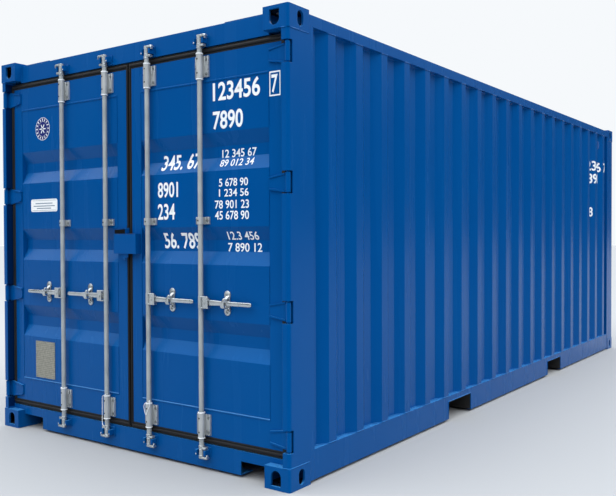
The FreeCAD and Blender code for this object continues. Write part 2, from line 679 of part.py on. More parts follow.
def leaf_hinges():
    """Four hinge blades: a knuckle on the pin, and an arm that narrows across the leaf."""
    blades = []
    near = PIN_Y + " - blade_plate / 2"
    bend = PIN_Y + " + blade_straight"
    tip = PIN_Y + " + blade_reach"
    arm_corners = [(near, "0"), (bend, "0"), (tip, "blade_taper"),
                   (tip, "knuckle_tall - blade_taper"), (bend, "knuckle_tall"),
                   (near, "knuckle_tall")]
    for level in hinge_levels():
        low = level + " - knuckle_tall / 2"
        knuckle = rod("knuckle", (PIN_X, PIN_Y, low), "knuckle_radius", "knuckle_tall")
        neck = block("neck", (PIN_X, near, low),
                     ("recess - pin_inset", "blade_plate", "knuckle_tall"))
        arm = padded("arm", "YZ_Plane", arm_corners, "blade_plate",
                     (FACE + " - blade_plate", "0", low))
        bore = rod("pin_bore", (PIN_X, PIN_Y, low + " - 1"), "pin_radius + pin_play",
                   "knuckle_tall + 2")
        blades.append(cut("blade", fused("blade_body", [knuckle, neck, arm]), [bore]))
    return compound("blades", blades)


def rod_brackets(numbers):
    """Bearings of the lock rods: a long one at the head and foot, a short guide between."""
    brackets = []
    face = FACE + " - bracket_plate"
    for number in numbers:
        y = rod_y(number)
        for kind in ("foot", "guide", "head"):
            wing_low, wing_tall, over = {
                "foot": (LEAF_LOW + " + bracket_in", "bracket_tall", "sleeve_over"),
                "guide": ("guide_level - guide_tall / 2", "guide_tall", "0"),
                "head": (LEAF_HIGH + " - bracket_in - bracket_tall", "bracket_tall",
                         "sleeve_over")}[kind]
            low = "%s - %s" % (wing_low, over)
            tall = "%s + 2 * %s" % (wing_tall, over)
            outer = "rod_radius + sleeve_play + sleeve_plate"
            sleeve = rod("sleeve", (ROD_X, y, low), outer, tall)
            web = block("web", (ROD_X, y + " - web_half", wing_low),
                        ("recess - rod_inset", "2 * web_half", wing_tall))
            wing = block("wing", (face, y + " - bracket_half", wing_low),
                         ("bracket_plate", "2 * bracket_half", wing_tall))
            bore = rod("sleeve_bore", (ROD_X, y, low + " - 1"), "rod_radius + sleeve_play",
                       tall + " + 2")
            brackets.append(cut("bracket", fused("bracket_body", [sleeve, web, wing]), [bore]))
    return compound("brackets", brackets)


def retainers(numbers):
    """Handle retainers: a back plate with a cradle that holds the handle from below."""
    pieces = []
    for number in numbers:
        side = "+" if ROD_PLACES[number][1] > 0 else "-"
        y = "(%s %s retainer_out)" % (rod_y(number), side)
        reach = "(retainer_tall / 2 - retainer_half)"
        plate_x = FACE + " - bracket_plate"
        lobes = [rod("retainer_lobe", (plate_x, y, "handle_level %s %s" % (sign, reach)),
                     "retainer_half", "bracket_plate", "x") for sign in "+-"]
        plate = block("retainer_plate",
                      (plate_x, y + " - cradle_half", "handle_level - " + reach),
                      ("bracket_plate", "2 * cradle_half", "2 * " + reach))
        shelf_top = "handle_level - handle_half - cradle_gap"
        lip_x = "(handle_inset - cradle_gap - cradle_plate - length / 2)"
        shelf = block("cradle_shelf", (lip_x, y + " - cradle_half",
                                       shelf_top + " - cradle_plate"),
                      ("recess - handle_inset + cradle_gap + cradle_plate",
                       "2 * cradle_half", "cradle_plate"))
        lip = block("cradle_lip", (lip_x, y + " - cradle_half", shelf_top + " - cradle_plate"),
                    ("cradle_plate", "2 * cradle_half",
                     "cradle_plate + cradle_gap + handle_half + cradle_lip"))
        pieces.append(fused("retainer", lobes + [plate, shelf, lip]))
    return compound("retainers", pieces)


for side, numbers in (("right", "34"), ("left", "12")):
    pieces = {"door_frame": leaf_frame, "door_panel": leaf_panel, "door_gasket": leaf_gasket,
              "door_hinges": leaf_hinges}
    for name, make in pieces.items():
        piece = make()
        if side == "left":
            piece = mirrored(name + "_left", piece, ACROSS)
        node("%s_%s" % (side, name), piece)
    node(side + "_rod_brackets", rod_brackets(numbers))
    node(side + "_handle_retainers", retainers(numbers))

# The lock box is welded to the right-hand leaf and stands in front of both.
box_x = FACE + " - box_reach"
box_outer = block("box_outer", (box_x, "0 - box_half", "box_low"),
                  ("box_reach", "2 * box_half", "box_tall"))
box_inner = block("box_inner", (box_x + " + box_plate", "box_plate - box_half",
                                "box_low + box_plate"),
                  ("box_reach", "2 * (box_half - box_plate)", "box_tall - 2 * box_plate"))
# Its walls stop short of the left-hand leaf, which moves on its own.
box_relief = block("box_relief", (FACE + " - seal_gap", "0 - seal_gap / 2", "box_low - 1"),
                   ("2 * seal_gap", "box_half + seal_gap", "box_tall + 2"))
node("lock_box", cut("box", box_outer, [box_inner, box_relief]))
node("data_plate", block("data", (FACE + " - plate_thick", "plate_out - plate_wide / 2",
                                  "plate_level - plate_tall / 2"),
                         ("plate_thick", "plate_wide", "plate_tall")))


# --- lock rods and handles --------------------------------------------------------------------
def cam(y, level, side):
    """A round boss with two lobes that close over the keeper's prongs."""
    low = level + " - cam_tall / 2"
    boss = rod("cam_boss", (ROD_X, y, low), "cam_round", "cam_tall")
    lobe_y = y if side > 0 else y + " - cam_lobe"
    lobes = [block("cam_lobe", (ROD_X + " - cam_half_wide", lobe_y, low + offset),
                   ("2 * cam_half_wide", "cam_lobe", "cam_plate"))
             for offset in ("", " + cam_tall - cam_plate")]
    return [boss] + lobes


def lock_rod(number):
    y = rod_y(number)
    side = ROD_PLACES[number][1]
    sign = "+" if side > 0 else "-"
    tube_low = "(cam_level + cam_tall / 2)"
    tube_high = "(height - cam_drop - cam_tall / 2)"
    tube_body = rod("rod_tube", (ROD_X, y, tube_low), "rod_radius",
                    "%s - %s" % (tube_high, tube_low))
    hub = rod("hub", (ROD_X, y, "handle_level - hub_half"),
              "rod_radius + hub_plate", "2 * hub_half")
    ear_x = "(handle_inset + handle_thick + ear_gap - length / 2)"
    ear_y = y if side > 0 else y + " - pivot_out - pivot_radius"
    ear = block("ear", (ear_x, ear_y, "handle_level - ear_half"),
                ("ear_thick", "pivot_out + pivot_radius", "2 * ear_half"))
    pivot = rod("pivot", ("handle_inset - ear_gap - length / 2",
                          "%s %s pivot_out" % (y, sign), "handle_level"), "pivot_radius",
                "handle_thick + 2 * ear_gap + ear_thick", "x")
    parts = [tube_body, hub, ear, pivot]
    for level in cam_levels():
        parts += cam(y, level, side)
    bore = rod("rod_hollow", (ROD_X, y, tube_low), "rod_bore",
               "%s - %s" % (tube_high, tube_low))
    return cut("lock_rod", fused("lock_rod_body", parts), [bore])


def handle(number):
    y = rod_y(number)
    side = ROD_PLACES[number][1]
    sign = "+" if side > 0 else "-"
    handle_x = "(handle_inset - length / 2)"
    pivot_y = "(%s %s pivot_out)" % (y, sign)
    tip_y = "(%s %s (handle_end - handle_tip))" % (y, sign)
    eye = rod("handle_eye", (handle_x, pivot_y, "handle_level"), "handle_half",
              "handle_thick", "x")
    tip = rod("handle_tip", (handle_x, tip_y, "handle_level"), "handle_tip",
              "handle_thick", "x")
    bar = padded("handle_bar", "YZ_Plane",
                 [(pivot_y, "handle_level - handle_half"), (tip_y, "handle_level - handle_tip"),
                  (tip_y, "handle_level + handle_tip"), (pivot_y, "handle_level + handle_half")],
                 "handle_thick", (handle_x, "0", "0"))
    bore = rod("handle_bore", (handle_x + " - 1", pivot_y, "handle_level"),
               "pivot_radius + pin_play", "handle_thick + 2", "x")
    return cut("handle", fused("handle_body", [eye, bar, tip]), [bore])


for number in ROD_PLACES:
    node("lock_rod_" + number, lock_rod(number))
    node("rod_handle_" + number, handle(number))

# --- check and write ------------------------------------------------------------------------
doc.recompute()
faults = [thing.Name for thing in doc.Objects
          if "Invalid" in thing.State or "Error" in thing.State]
for piece in NODES:
    if piece.Shape.isNull() or not piece.Shape.isValid():
        faults.append(piece.Label)
if faults:
    raise RuntimeError("these pieces failed: " + ", ".join(faults))
os.makedirs("parts", exist_ok=True)
for piece in NODES:
    piece.Shape.exportStep("parts/%s.step" % piece.Label)
    print(piece.Label, len(piece.Shape.Solids), "solids",
          round(piece.Shape.Volume / 1e6, 3), "litres")
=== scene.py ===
"""Looks of a twenty-foot dry-goods shipping container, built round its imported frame.

Metres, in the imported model's own frame: the doors are at -X, +Y is the left-hand side and +Z
is up. The file follows the container as it is put together, from its castings to its marks.
"""
import json
import math

import bmesh
import bpy
from mathutils import Matrix, Vector


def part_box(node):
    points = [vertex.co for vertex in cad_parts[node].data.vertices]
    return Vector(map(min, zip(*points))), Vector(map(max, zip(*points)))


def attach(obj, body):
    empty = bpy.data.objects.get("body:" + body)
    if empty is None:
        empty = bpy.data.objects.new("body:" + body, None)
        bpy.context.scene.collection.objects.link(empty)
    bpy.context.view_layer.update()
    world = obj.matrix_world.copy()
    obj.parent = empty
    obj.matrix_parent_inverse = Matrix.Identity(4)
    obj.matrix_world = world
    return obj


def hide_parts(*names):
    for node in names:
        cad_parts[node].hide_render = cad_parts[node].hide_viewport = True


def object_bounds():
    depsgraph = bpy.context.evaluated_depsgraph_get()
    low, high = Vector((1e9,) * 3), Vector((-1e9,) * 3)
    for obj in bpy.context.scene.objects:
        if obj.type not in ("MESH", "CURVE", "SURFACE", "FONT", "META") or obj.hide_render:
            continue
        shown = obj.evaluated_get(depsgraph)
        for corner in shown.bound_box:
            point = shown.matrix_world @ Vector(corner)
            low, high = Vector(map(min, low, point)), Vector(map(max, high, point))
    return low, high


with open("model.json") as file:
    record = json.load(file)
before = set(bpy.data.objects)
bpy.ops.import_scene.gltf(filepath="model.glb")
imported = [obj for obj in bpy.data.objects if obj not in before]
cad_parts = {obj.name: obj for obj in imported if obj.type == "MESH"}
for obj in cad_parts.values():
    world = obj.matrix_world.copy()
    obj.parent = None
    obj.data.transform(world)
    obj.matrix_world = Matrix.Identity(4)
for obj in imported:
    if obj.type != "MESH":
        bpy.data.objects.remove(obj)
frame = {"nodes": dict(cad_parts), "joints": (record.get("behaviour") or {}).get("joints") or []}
cad_box = [list(corner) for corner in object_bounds()]

# --- corner castings ---------------------------------------------------------
# Eight hollow steel castings take the twist locks and every load. They are sand cast, so the
# blue enamel over them keeps the grit of the mould and softens each edge.


def linear(colour):
    """A linear RGBA colour from an sRGB hex value."""
    shares = [int(colour[start:start + 2], 16) / 255 for start in (1, 3, 5)]
    return [s / 12.92 if s <= 0.04045 else ((s + 0.055) / 1.055) ** 2.4 for s in shares] + [1.0]


def feed(item, feeds):
    """Feed a node's inputs: from a socket, a node's first live output or a plain value."""
    for name, value in feeds.items():
        if isinstance(value, bpy.types.Node):
            value = next(output for output in value.outputs if output.enabled)
        if isinstance(value, bpy.types.NodeSocket):
            item.id_data.links.new(value, item.inputs[name])
        else:
            item.inputs[name].default_value = value


def add(tree, kind, feeds=None, **settings):
    """Add a node with its settings, and feed its inputs."""
    item = tree.nodes.new(kind)
    for name, value in settings.items():
        setattr(item, name, value)
    feed(item, feeds or {})
    return item


def blank_material(name):
    """A material with only a surface shader in it, and its object coordinates."""
    material = bpy.data.materials.new(name)
    material.use_nodes = True
    tree = material.node_tree
    tree.nodes.clear()
    shader = add(tree, "ShaderNodeBsdfPrincipled")
    add(tree, "ShaderNodeOutputMaterial", {"Surface": shader})
    place = add(tree, "ShaderNodeTexCoord").outputs["Object"]
    return material, tree, shader, place


def gloss_enamel(name, grain_mm, grain_deep_mm, wave_deep_mm, edge_mm):
    """Sprayed alkyd enamel on steel: a deep even blue with a wet gloss.

    grain is the orange peel of the spray, or the grit of a casting under it; wave is the slow
    buckling of thin sheet; edge is how far the paint film rounds a corner.
    """
    material, tree, shader, place = blank_material(name)
    tone = add(tree, "ShaderNodeTexNoise", {"Vector": place, "Scale": 1.3, "Detail": 4.0})
    blue = add(tree, "ShaderNodeMix", {0: tone, 6: linear("#004687"), 7: linear("#004e90")},
               data_type="RGBA")
    # Rain leaves pale dust: in upright streaks, and as splash over the lowest 300 mm.
    upright = add(tree, "ShaderNodeMapping", {"Vector": place, "Scale": (9.0, 9.0, 0.7)})
    streaks = add(tree, "ShaderNodeTexNoise", {"Vector": upright, "Scale": 1.0, "Detail": 5.0})
    streak_film = add(tree, "ShaderNodeMapRange", {"Value": streaks, 1: 0.52, 2: 0.80, 3: 0.0,
                                                   4: 0.035})
    height = add(tree, "ShaderNodeSeparateXYZ", {0: place}).outputs["Z"]
    splash_film = add(tree, "ShaderNodeMapRange", {"Value": height, 1: 0.30, 2: 0.02, 3: 0.0,
                                                   4: 0.08})
    splash = add(tree, "ShaderNodeMath", {0: splash_film, 1: streaks}, operation="MULTIPLY")
    dust = add(tree, "ShaderNodeMath", {0: streak_film, 1: splash}, operation="ADD")
    dusty = add(tree, "ShaderNodeMix", {0: dust, 6: blue, 7: linear("#3a78b2")},
                data_type="RGBA")
    # Whatever faces up, so ledges, ribs and the roof, is painted paler: partly settled dust,
    # partly painted light from overhead.
    facing = add(tree, "ShaderNodeNewGeometry").outputs["Normal"]
    upward = add(tree, "ShaderNodeSeparateXYZ", {0: facing}).outputs["Z"]
    upward_dust_and_light = add(tree, "ShaderNodeMapRange", {"Value": upward, 1: 0.35, 2: 0.95, 3: 0.0,
                                               4: 0.5})
    dust_and_painted_light = add(tree, "ShaderNodeMix", {0: upward_dust_and_light, 6: dusty, 7: linear("#4d9fe2")},
                 data_type="RGBA")
    gloss = add(tree, "ShaderNodeMapRange", {"Value": streaks, 1: 0.3, 2: 0.8, 3: 0.20,
                                             4: 0.34})
    edge = add(tree, "ShaderNodeBevel", {"Radius": edge_mm / 1000}, samples=4)
    wave = add(tree, "ShaderNodeTexNoise", {"Vector": place, "Scale": 2.6, "Detail": 1.0})
    buckled = add(tree, "ShaderNodeBump", {"Height": wave, "Strength": 1.0, "Normal": edge,
                                           "Distance": wave_deep_mm / 1000})
    grain = add(tree, "ShaderNodeTexNoise", {"Vector": place, "Scale": 1000 / grain_mm,
                                             "Detail": 3.0})
    skin = add(tree, "ShaderNodeBump", {"Height": grain, "Strength": 1.0, "Normal": buckled,
                                        "Distance": grain_deep_mm / 1000})
    # Even the shine stays blue, so that the slopes of the corrugations do not turn grey.
    feed(shader, {"Base Color": dust_and_painted_light, "Roughness": gloss, "Normal": skin, "IOR": 1.48,
                  "Specular IOR Level": 0.20, "Specular Tint": linear("#2f86e0")})
    return material


def coat(material, *names):
    """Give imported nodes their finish."""
    for name in names:
        slots = frame["nodes"][name].data.materials
        slots.clear()
        slots.append(material)


# The mould's grit is about 1 mm across, too fine to show, so it is drawn at 7 mm.
cast_enamel = gloss_enamel("blue_enamel_on_cast_steel", 7, 0.35, 0.5, 3.5)
coat(cast_enamel, "bottom_corner_castings", "top_corner_castings")


def shaded_in_box(material, centre, half, colour, share):
    """Paint shade: darken what lies in a box, and in its mirror images about the container's
    middle.
    """
    tree = material.node_tree
    shader = tree.nodes["Principled BSDF"]
    place = add(tree, "ShaderNodeTexCoord").outputs["Object"]
    spot = add(tree, "ShaderNodeVectorMath", {0: place, 1: (0, 0, 1.219)},
               operation="SUBTRACT")
    folded_spot = add(tree, "ShaderNodeVectorMath", {0: spot}, operation="ABSOLUTE")
    offset = add(tree, "ShaderNodeVectorMath", {0: folded_spot, 1: centre},
                 operation="SUBTRACT")
    away = add(tree, "ShaderNodeVectorMath", {0: offset}, operation="ABSOLUTE")
    away = add(tree, "ShaderNodeSeparateXYZ", {0: away})
    inside = share
    for axis, reach in zip("XYZ", half):
        within = add(tree, "ShaderNodeMath", {0: away.outputs[axis], 1: reach},
                     operation="LESS_THAN")
        inside = add(tree, "ShaderNodeMath", {0: within, 1: inside}, operation="MULTIPLY")
    unshaded = shader.inputs["Base Color"].links[0].from_socket
    painted_shade = add(tree, "ShaderNodeMix", {0: inside, 6: unshaded, 7: linear(colour)},
                data_type="RGBA")
    feed(shader, {"Base Color": painted_shade})


# The hollow of each casting is painted near-black: painted shade inside the hollow.
shaded_in_box(cast_enamel, (2.940, 1.138, 1.160), (0.0770, 0.0690, 0.0500), "#0a0b0d", 1.0)

# --- posts, rails, header and sill -------------------------------------------
# The load frame: pressed plate 4 to 6 mm thick, welded edge to edge and to the castings. Its
# enamel has a fine orange peel, drawn at 9 mm because the real 2 mm would not show.
frame_enamel = gloss_enamel("blue_enamel_on_pressed_plate", 9, 0.06, 0.8, 3.0)
# The inner return of each door post is painted dark navy: painted shade where that face sits in
# shadow.
shaded_in_box(frame_enamel, (3.000, 1.1715, 0.0), (0.0235, 0.0035, 1.0900), "#000a30", 0.8)
coat(frame_enamel, "rear_corner_posts", "front_corner_posts", "bottom_side_rails",
     "top_side_rails", "front_top_rail", "front_bottom_rail", "door_header", "door_sill",
     "roof_corner_plates")

# --- walls and roof ----------------------------------------------------------
# Corrugated sheet 2 mm thick, pressed cold and a little buckled by its welds, so the gloss on
# it runs in slow waves. Its folds stay crisp: the paint rounds them by only 1 mm.
sheet_enamel = gloss_enamel("blue_enamel_on_corrugated_sheet", 9, 0.06, 2.2, 1.0)
coat(sheet_enamel, "right_side_wall", "left_side_wall", "front_wall", "roof")

# --- weld beads --------------------------------------------------------------
# Every joint of the load frame is closed by a hand-laid bead, 6 to 8 mm wide and rippled where
# the welder paused. It is painted over with the rest. Each bead is a path along a joint.
REAR, FRONT = cad_box[0][0], cad_box[1][0]
SIDE, TOP = cad_box[1][1], cad_box[1][2]
POST_INSET, POST_SIDE = 0.002, 0.216
CASTING_LONG, CASTING_WIDE, CASTING_TALL = 0.178, 0.162, 0.118
RAIL_TOP, TOP_RAIL_LOW, FACE = 0.173, TOP - 0.080, REAR + 0.050
HEADER_LOW, SILL_TOP, RAIL_SIDE = TOP - 0.128, 0.145, SIDE - 0.004
WALL_IN = 0.043  # from the side of the container to the sheet's inner folds
POCKET_AT, POCKET_HALF, POCKET_LOW, POCKET_TOP = 1.025, 0.186, 0.018, 0.136


def new_tree(name, sizes):
    """A geometry tree with one named input for each size; returns it and those inputs."""
    tree = bpy.data.node_groups.new(name, "GeometryNodeTree")
    tree.interface.new_socket("Geometry", in_out="INPUT", socket_type="NodeSocketGeometry")
    for size, default in sizes.items():
        socket = tree.interface.new_socket(size, in_out="INPUT", socket_type="NodeSocketFloat")
        socket.default_value = default
    tree.interface.new_socket("Material", in_out="INPUT", socket_type="NodeSocketMaterial")
    tree.interface.new_socket("Geometry", in_out="OUTPUT", socket_type="NodeSocketGeometry")
    return tree, add(tree, "NodeGroupInput").outputs


def close_tree(tree, shapes, made):
    """End a tree: make its instances real and give them the material."""
    real = add(tree, "GeometryNodeRealizeInstances", {0: shapes})
    coated = add(tree, "GeometryNodeSetMaterial", {"Geometry": real,
                                                   "Material": made["Material"]})
    add(tree, "NodeGroupOutput", {0: coated})
    return tree


def grown(name, seed_mesh, tree, material, body, **sizes):
    """Run a tree on a seed mesh, keep what it makes as a plain mesh, and ride it on a body."""
    holder = bpy.data.objects.new(name + "_seed", seed_mesh)
    bpy.context.scene.collection.objects.link(holder)
    modifier = holder.modifiers.new("grow", "NODES")
    modifier.node_group = tree
    sizes["material"] = material
    for socket in tree.interface.items_tree:
        size = socket.name.lower().replace(" ", "_")
        if socket.in_out == "INPUT" and size in sizes:
            modifier[socket.identifier] = sizes[size]
    seen = holder.evaluated_get(bpy.context.evaluated_depsgraph_get())
    mesh = bpy.data.meshes.new_from_object(seen)
    mesh.name = name
    holder.modifiers.remove(modifier)
    bpy.data.objects.remove(holder)
    piece = bpy.data.objects.new(name, mesh)
    bpy.context.scene.collection.objects.link(piece)
    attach(piece, body)
    return piece


def paths_mesh(name, paths):
    """A mesh of bare edges, one run for each path."""
    spots = [spot for path in paths for spot in path]
    runs, first = [], 0
    for path in paths:
        runs += [(first + step, first + step + 1) for step in range(len(path) - 1)]
        first += len(path)
    mesh = bpy.data.meshes.new(name)
    mesh.from_pydata(spots, runs, [])
    return mesh


bead_tree, made = new_tree("weld_bead", {"Bead radius": 0.0035, "Ripple step": 0.009})
line = add(bead_tree, "GeometryNodeMeshToCurve", {0: made["Geometry"]})
even = add(bead_tree, "GeometryNodeResampleCurve", {"Curve": line,
                                                    "Length": made["Ripple step"]},
           mode="LENGTH")
pause = add(bead_tree, "FunctionNodeRandomValue", {2: 0.72, 3: 1.28, "Seed": 4})
girth = add(bead_tree, "GeometryNodeSetCurveRadius", {"Curve": even,
                                                      "Radius": pause.outputs[1]})
ring = add(bead_tree, "GeometryNodeCurvePrimitiveCircle", {"Resolution": 6,
                                                           "Radius": made["Bead radius"]})
girth_of = add(bead_tree, "GeometryNodeInputRadius")
bead = add(bead_tree, "GeometryNodeCurveToMesh", {"Curve": girth, "Profile Curve": ring,
                                                  "Scale": girth_of, "Fill Caps": True})
close_tree(bead_tree, bead, made)


def corrugation(start, run, bays, tail, flat, slope, depth):
    """Points (along, out) of a pressed sheet's outer face, bay by bay."""
    pitch = (run - tail) / bays
    points = []
    for bay in range(bays):
        foot = start + pitch * bay
        points += [(foot, 0), (foot + flat, 0), (foot + flat + slope, depth),
                   (foot + pitch - slope, depth)]
    return points + [(start + pitch * bays, 0), (start + run, 0)]


wall_line = corrugation(REAR + POST_SIDE, FRONT - REAR - 2 * POST_SIDE, 20, 0.030, 0.071, 0.070,
                        0.036)
front_line = corrugation(CASTING_WIDE - SIDE, 2 * (SIDE - CASTING_WIDE), 8, 0.110, 0.110, 0.018,
                         0.045)
beads = []
for side in (-1, 1):
    wall_y = side * (SIDE - WALL_IN + 0.003)
    for z in (RAIL_TOP + 0.001, TOP_RAIL_LOW - 0.001):
        beads.append([(x, wall_y + side * out, z) for x, out in wall_line])
    for x in (REAR + POST_SIDE, FRONT - POST_SIDE):
        beads.append([(x, wall_y, RAIL_TOP), (x, wall_y, TOP_RAIL_LOW)])
    for end, reach in ((-1, 0.046), (1, 0.162)):
        end_x = end * (FRONT - POST_INSET)
        for z in (CASTING_TALL + 0.001, TOP - CASTING_TALL - 0.001):
            edge_y = side * (SIDE - POST_INSET)
            beads.append([(end_x, side * (SIDE - reach), z), (end_x, edge_y - side * 0.018, z),
                          (end_x - end * 0.005, edge_y - side * 0.005, z),
                          (end_x - end * 0.018, edge_y, z),
                          (end_x - end * (CASTING_LONG - 0.006), edge_y, z)])
    for x, y in ((FACE, SIDE - CASTING_WIDE), (FRONT - 0.012, SIDE - CASTING_WIDE)):
        beads.append([(x, side * y, TOP_RAIL_LOW if x > 0 else HEADER_LOW),
                      (x, side * y, TOP - 0.022)])
    beads.append([(FRONT - 0.012, side * (SIDE - CASTING_WIDE), CASTING_TALL),
                  (FRONT - 0.012, side * (SIDE - CASTING_WIDE), RAIL_TOP)])
    beads.append([(FACE, side * (SIDE - 0.049), CASTING_TALL + 0.003),
                  (FACE, side * (SIDE - 0.049), SILL_TOP)])
    for middle in (-POCKET_AT, POCKET_AT):
        beads.append([(middle + across * POCKET_HALF, side * RAIL_SIDE, z) for across, z in (
            (-1, POCKET_LOW), (-1, POCKET_TOP), (1, POCKET_TOP), (1, POCKET_LOW))])
for z in (RAIL_TOP + 0.001, TOP_RAIL_LOW - 0.001):
    beads.append([(FRONT - 0.063 + 0.003 + out, y, z) for y, out in front_line])
frame_beads = grown("frame_weld_beads", paths_mesh("frame_joints", beads), bead_tree,
                    frame_enamel, "frame", bead_radius=0.0035, ripple_step=0.009)

# --- floor and underside -----------------------------------------------------
# Hardwood plywood sheets 28 mm thick, in two rows with a flat steel strip between, screwed down
# to each cross member. Below, the steel is thick with black bitumen sprayed on by hand.
plywood, tree, shader, place = blank_material("sealed_hardwood_plywood")
length_on = add(tree, "ShaderNodeMapping", {"Vector": place, "Scale": (1.0, 12.0, 12.0)})
figure = add(tree, "ShaderNodeTexNoise", {"Vector": length_on, "Scale": 3.5, "Detail": 8.0,
                                          "Distortion": 0.6})
veneer = add(tree, "ShaderNodeAttribute", attribute_name="sheet_tone").outputs["Fac"]
tone = add(tree, "ShaderNodeMath", {0: figure, 1: veneer}, operation="ADD")
brown = add(tree, "ShaderNodeValToRGB", {"Fac": tone})
stops = brown.color_ramp.elements
stops[0].position, stops[0].color = 0.30, linear("#4a2c1c")
stops[1].position, stops[1].color = 0.85, linear("#96663f")
scuffed = add(tree, "ShaderNodeMapRange", {"Value": figure, 3: 0.45, 4: 0.7})
grain = add(tree, "ShaderNodeBump", {"Height": figure, "Strength": 0.6, "Distance": 0.0006})
feed(shader, {"Base Color": brown, "Roughness": scuffed, "Normal": grain})


def chamfered_box(shape, corner, opposite, chamfer):
    """Add a box with cut edges between two opposite corners; returns its vertices."""
    low, high = (Vector([pick(pair) for pair in zip(corner, opposite)]) for pick in (min, max))
    place_in = Matrix.Translation((low + high) / 2) @ Matrix.Diagonal(high - low).to_4x4()
    corners = bmesh.ops.create_cube(shape, size=1.0, matrix=place_in)["verts"]
    edges = list({edge for corner in corners for edge in corner.link_edges})
    cut = bmesh.ops.bevel(shape, geom=edges, offset=chamfer, segments=1, affect="EDGES")
    return cut["verts"] + [corner for corner in corners if corner.is_valid]


def finished(name, shape, material, body, smooth_above=None):
    """Turn a bmesh into a piece that rides on a body, with its faces outwards."""
    bmesh.ops.recalc_face_normals(shape, faces=shape.faces)
    mesh = bpy.data.meshes.new(name)
    shape.to_mesh(mesh)
    shape.free()
    mesh.materials.append(material)
    if smooth_above is not None:
        mesh.shade_smooth()
        mesh.set_sharp_from_angle(angle=math.radians(smooth_above))
    piece = bpy.data.objects.new(name, mesh)
    bpy.context.scene.collection.objects.link(piece)
    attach(piece, body)
    return piece


floor_low, floor_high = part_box("plywood_floor")
SHEETS, STRIP_HALF, SHEET_GAP = 5, 0.020, 0.0015
shape = bmesh.new()
tone_layer = shape.verts.layers.float.new("sheet_tone")
sheet_run = (floor_high.x - floor_low.x) / SHEETS
for row, (y_low, y_high) in enumerate(((floor_low.y, -STRIP_HALF), (STRIP_HALF, floor_high.y))):
    # The joints of one row fall in the middle of the other row's sheets.
    cuts = [0.0] + [number + 0.5 * row for number in range(1 - row, SHEETS)] + [SHEETS]
    for number, (start, end) in enumerate(zip(cuts, cuts[1:])):
        verts = chamfered_box(
            shape, (floor_low.x + sheet_run * start + SHEET_GAP, y_low + SHEET_GAP, floor_low.z),
            (floor_low.x + sheet_run * end - SHEET_GAP, y_high - SHEET_GAP, floor_high.z), 0.0012)
        for vert in verts:
            vert[tone_layer] = 0.10 * math.sin(7.3 * number + 2.1 * row)
floor_sheets = finished("plywood_floor_sheets", shape, plywood, "frame")
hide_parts("plywood_floor")


def clouded(name, scale, detail, dark, light):
    """A material whose colour drifts between two tones; also returns the pattern of drift."""
    material, tree, shader, place = blank_material(name)
    drift = add(tree, "ShaderNodeTexNoise", {"Vector": place, "Scale": scale,
                                             "Detail": detail})
    tone = add(tree, "ShaderNodeMix", {0: drift, 6: linear(dark), 7: linear(light)},
               data_type="RGBA")
    feed(shader, {"Base Color": tone})
    return material, tree, shader, place, drift


def bare_metal(name, dark, light, roughness, grain_mm, grain_deep_mm, metallic=1.0):
    """Zinc or steel with its own grain: cloudy tone, uneven shine and a fine bump."""
    material, tree, shader, place, cloud = clouded(name, 14.0, 6.0, dark, light)
    shine = add(tree, "ShaderNodeMapRange", {"Value": cloud, 1: 0.3, 2: 0.7,
                                             3: roughness - 0.08, 4: roughness + 0.10})
    edge = add(tree, "ShaderNodeBevel", {"Radius": 0.0015}, samples=4)
    grit = add(tree, "ShaderNodeTexNoise", {"Vector": place, "Scale": 1000 / grain_mm,
                                            "Detail": 3.0})
    skin = add(tree, "ShaderNodeBump", {"Height": grit, "Strength": 1.0, "Normal": edge,
                                        "Distance": grain_deep_mm / 1000})
    feed(shader, {"Metallic": metallic, "Roughness": shine, "Normal": skin})
    return material


worn_steel = bare_metal("worn_mild_steel", "#6f6d69", "#a5a29c", 0.38, 2.5, 0.05)
shape = bmesh.new()
chamfered_box(shape, (floor_low.x, -STRIP_HALF, floor_high.z - 0.006),
              (floor_high.x, STRIP_HALF, floor_high.z), 0.001)
finished("floor_joint_strip", shape, worn_steel, "frame")


def spots_mesh(name, spots, facing):
    """A mesh of bare points that all face one way."""
    mesh = bpy.data.meshes.new(name)
    mesh.from_pydata(spots, [], [])
    turn = mesh.attributes.new("facing", "FLOAT_VECTOR", "POINT")
    turn.data.foreach_set("vector", list(facing) * len(spots))
    return mesh


def studded(name, spots, facing, tree, material, body, **sizes):
    """Set a fastener on each of the spots."""
    return grown(name, spots_mesh(name + "_spots", spots, facing), tree, material, body, **sizes)


def set_out(tree, made, fastener):
    """Stand a copy of a fastener on each point, along the way that the point faces."""
    facing = add(tree, "GeometryNodeInputNamedAttribute", {"Name": "facing"},
                 data_type="FLOAT_VECTOR")
    turned = add(tree, "FunctionNodeAlignRotationToVector", {"Vector": facing}, axis="Z")
    stood = add(tree, "GeometryNodeInstanceOnPoints", {"Points": made["Geometry"],
                                                       "Instance": fastener,
                                                       "Rotation": turned})
    return close_tree(tree, stood, made)


rivet_tree, made = new_tree("domed_rivet", {"Head radius": 0.006, "Head height": 0.003})
dome = add(rivet_tree, "GeometryNodeMeshUVSphere", {"Segments": 12, "Rings": 6, "Radius": 1.0})
flat = add(rivet_tree, "ShaderNodeCombineXYZ", {"X": made["Head radius"],
                                                "Y": made["Head radius"],
                                                "Z": made["Head height"]})
squat = add(rivet_tree, "GeometryNodeTransform", {"Geometry": dome, "Scale": flat})
set_out(rivet_tree, made, add(rivet_tree, "GeometryNodeSetShadeSmooth", {0: squat}))

SCREW_ROWS, SCREWS = 15, 9
screws = [(floor_low.x + 0.10 + (floor_high.x - floor_low.x - 0.20) * row / (SCREW_ROWS - 1),
           side * (0.05 + (floor_high.y - 0.10) * number / (SCREWS - 1)), floor_high.z)
          for row in range(SCREW_ROWS) for number in range(SCREWS) for side in (-1, 1)]
studded("floor_screw_heads", screws, (0, 0, 1), rivet_tree, worn_steel, "frame",
        head_radius=0.007, head_height=0.0008)

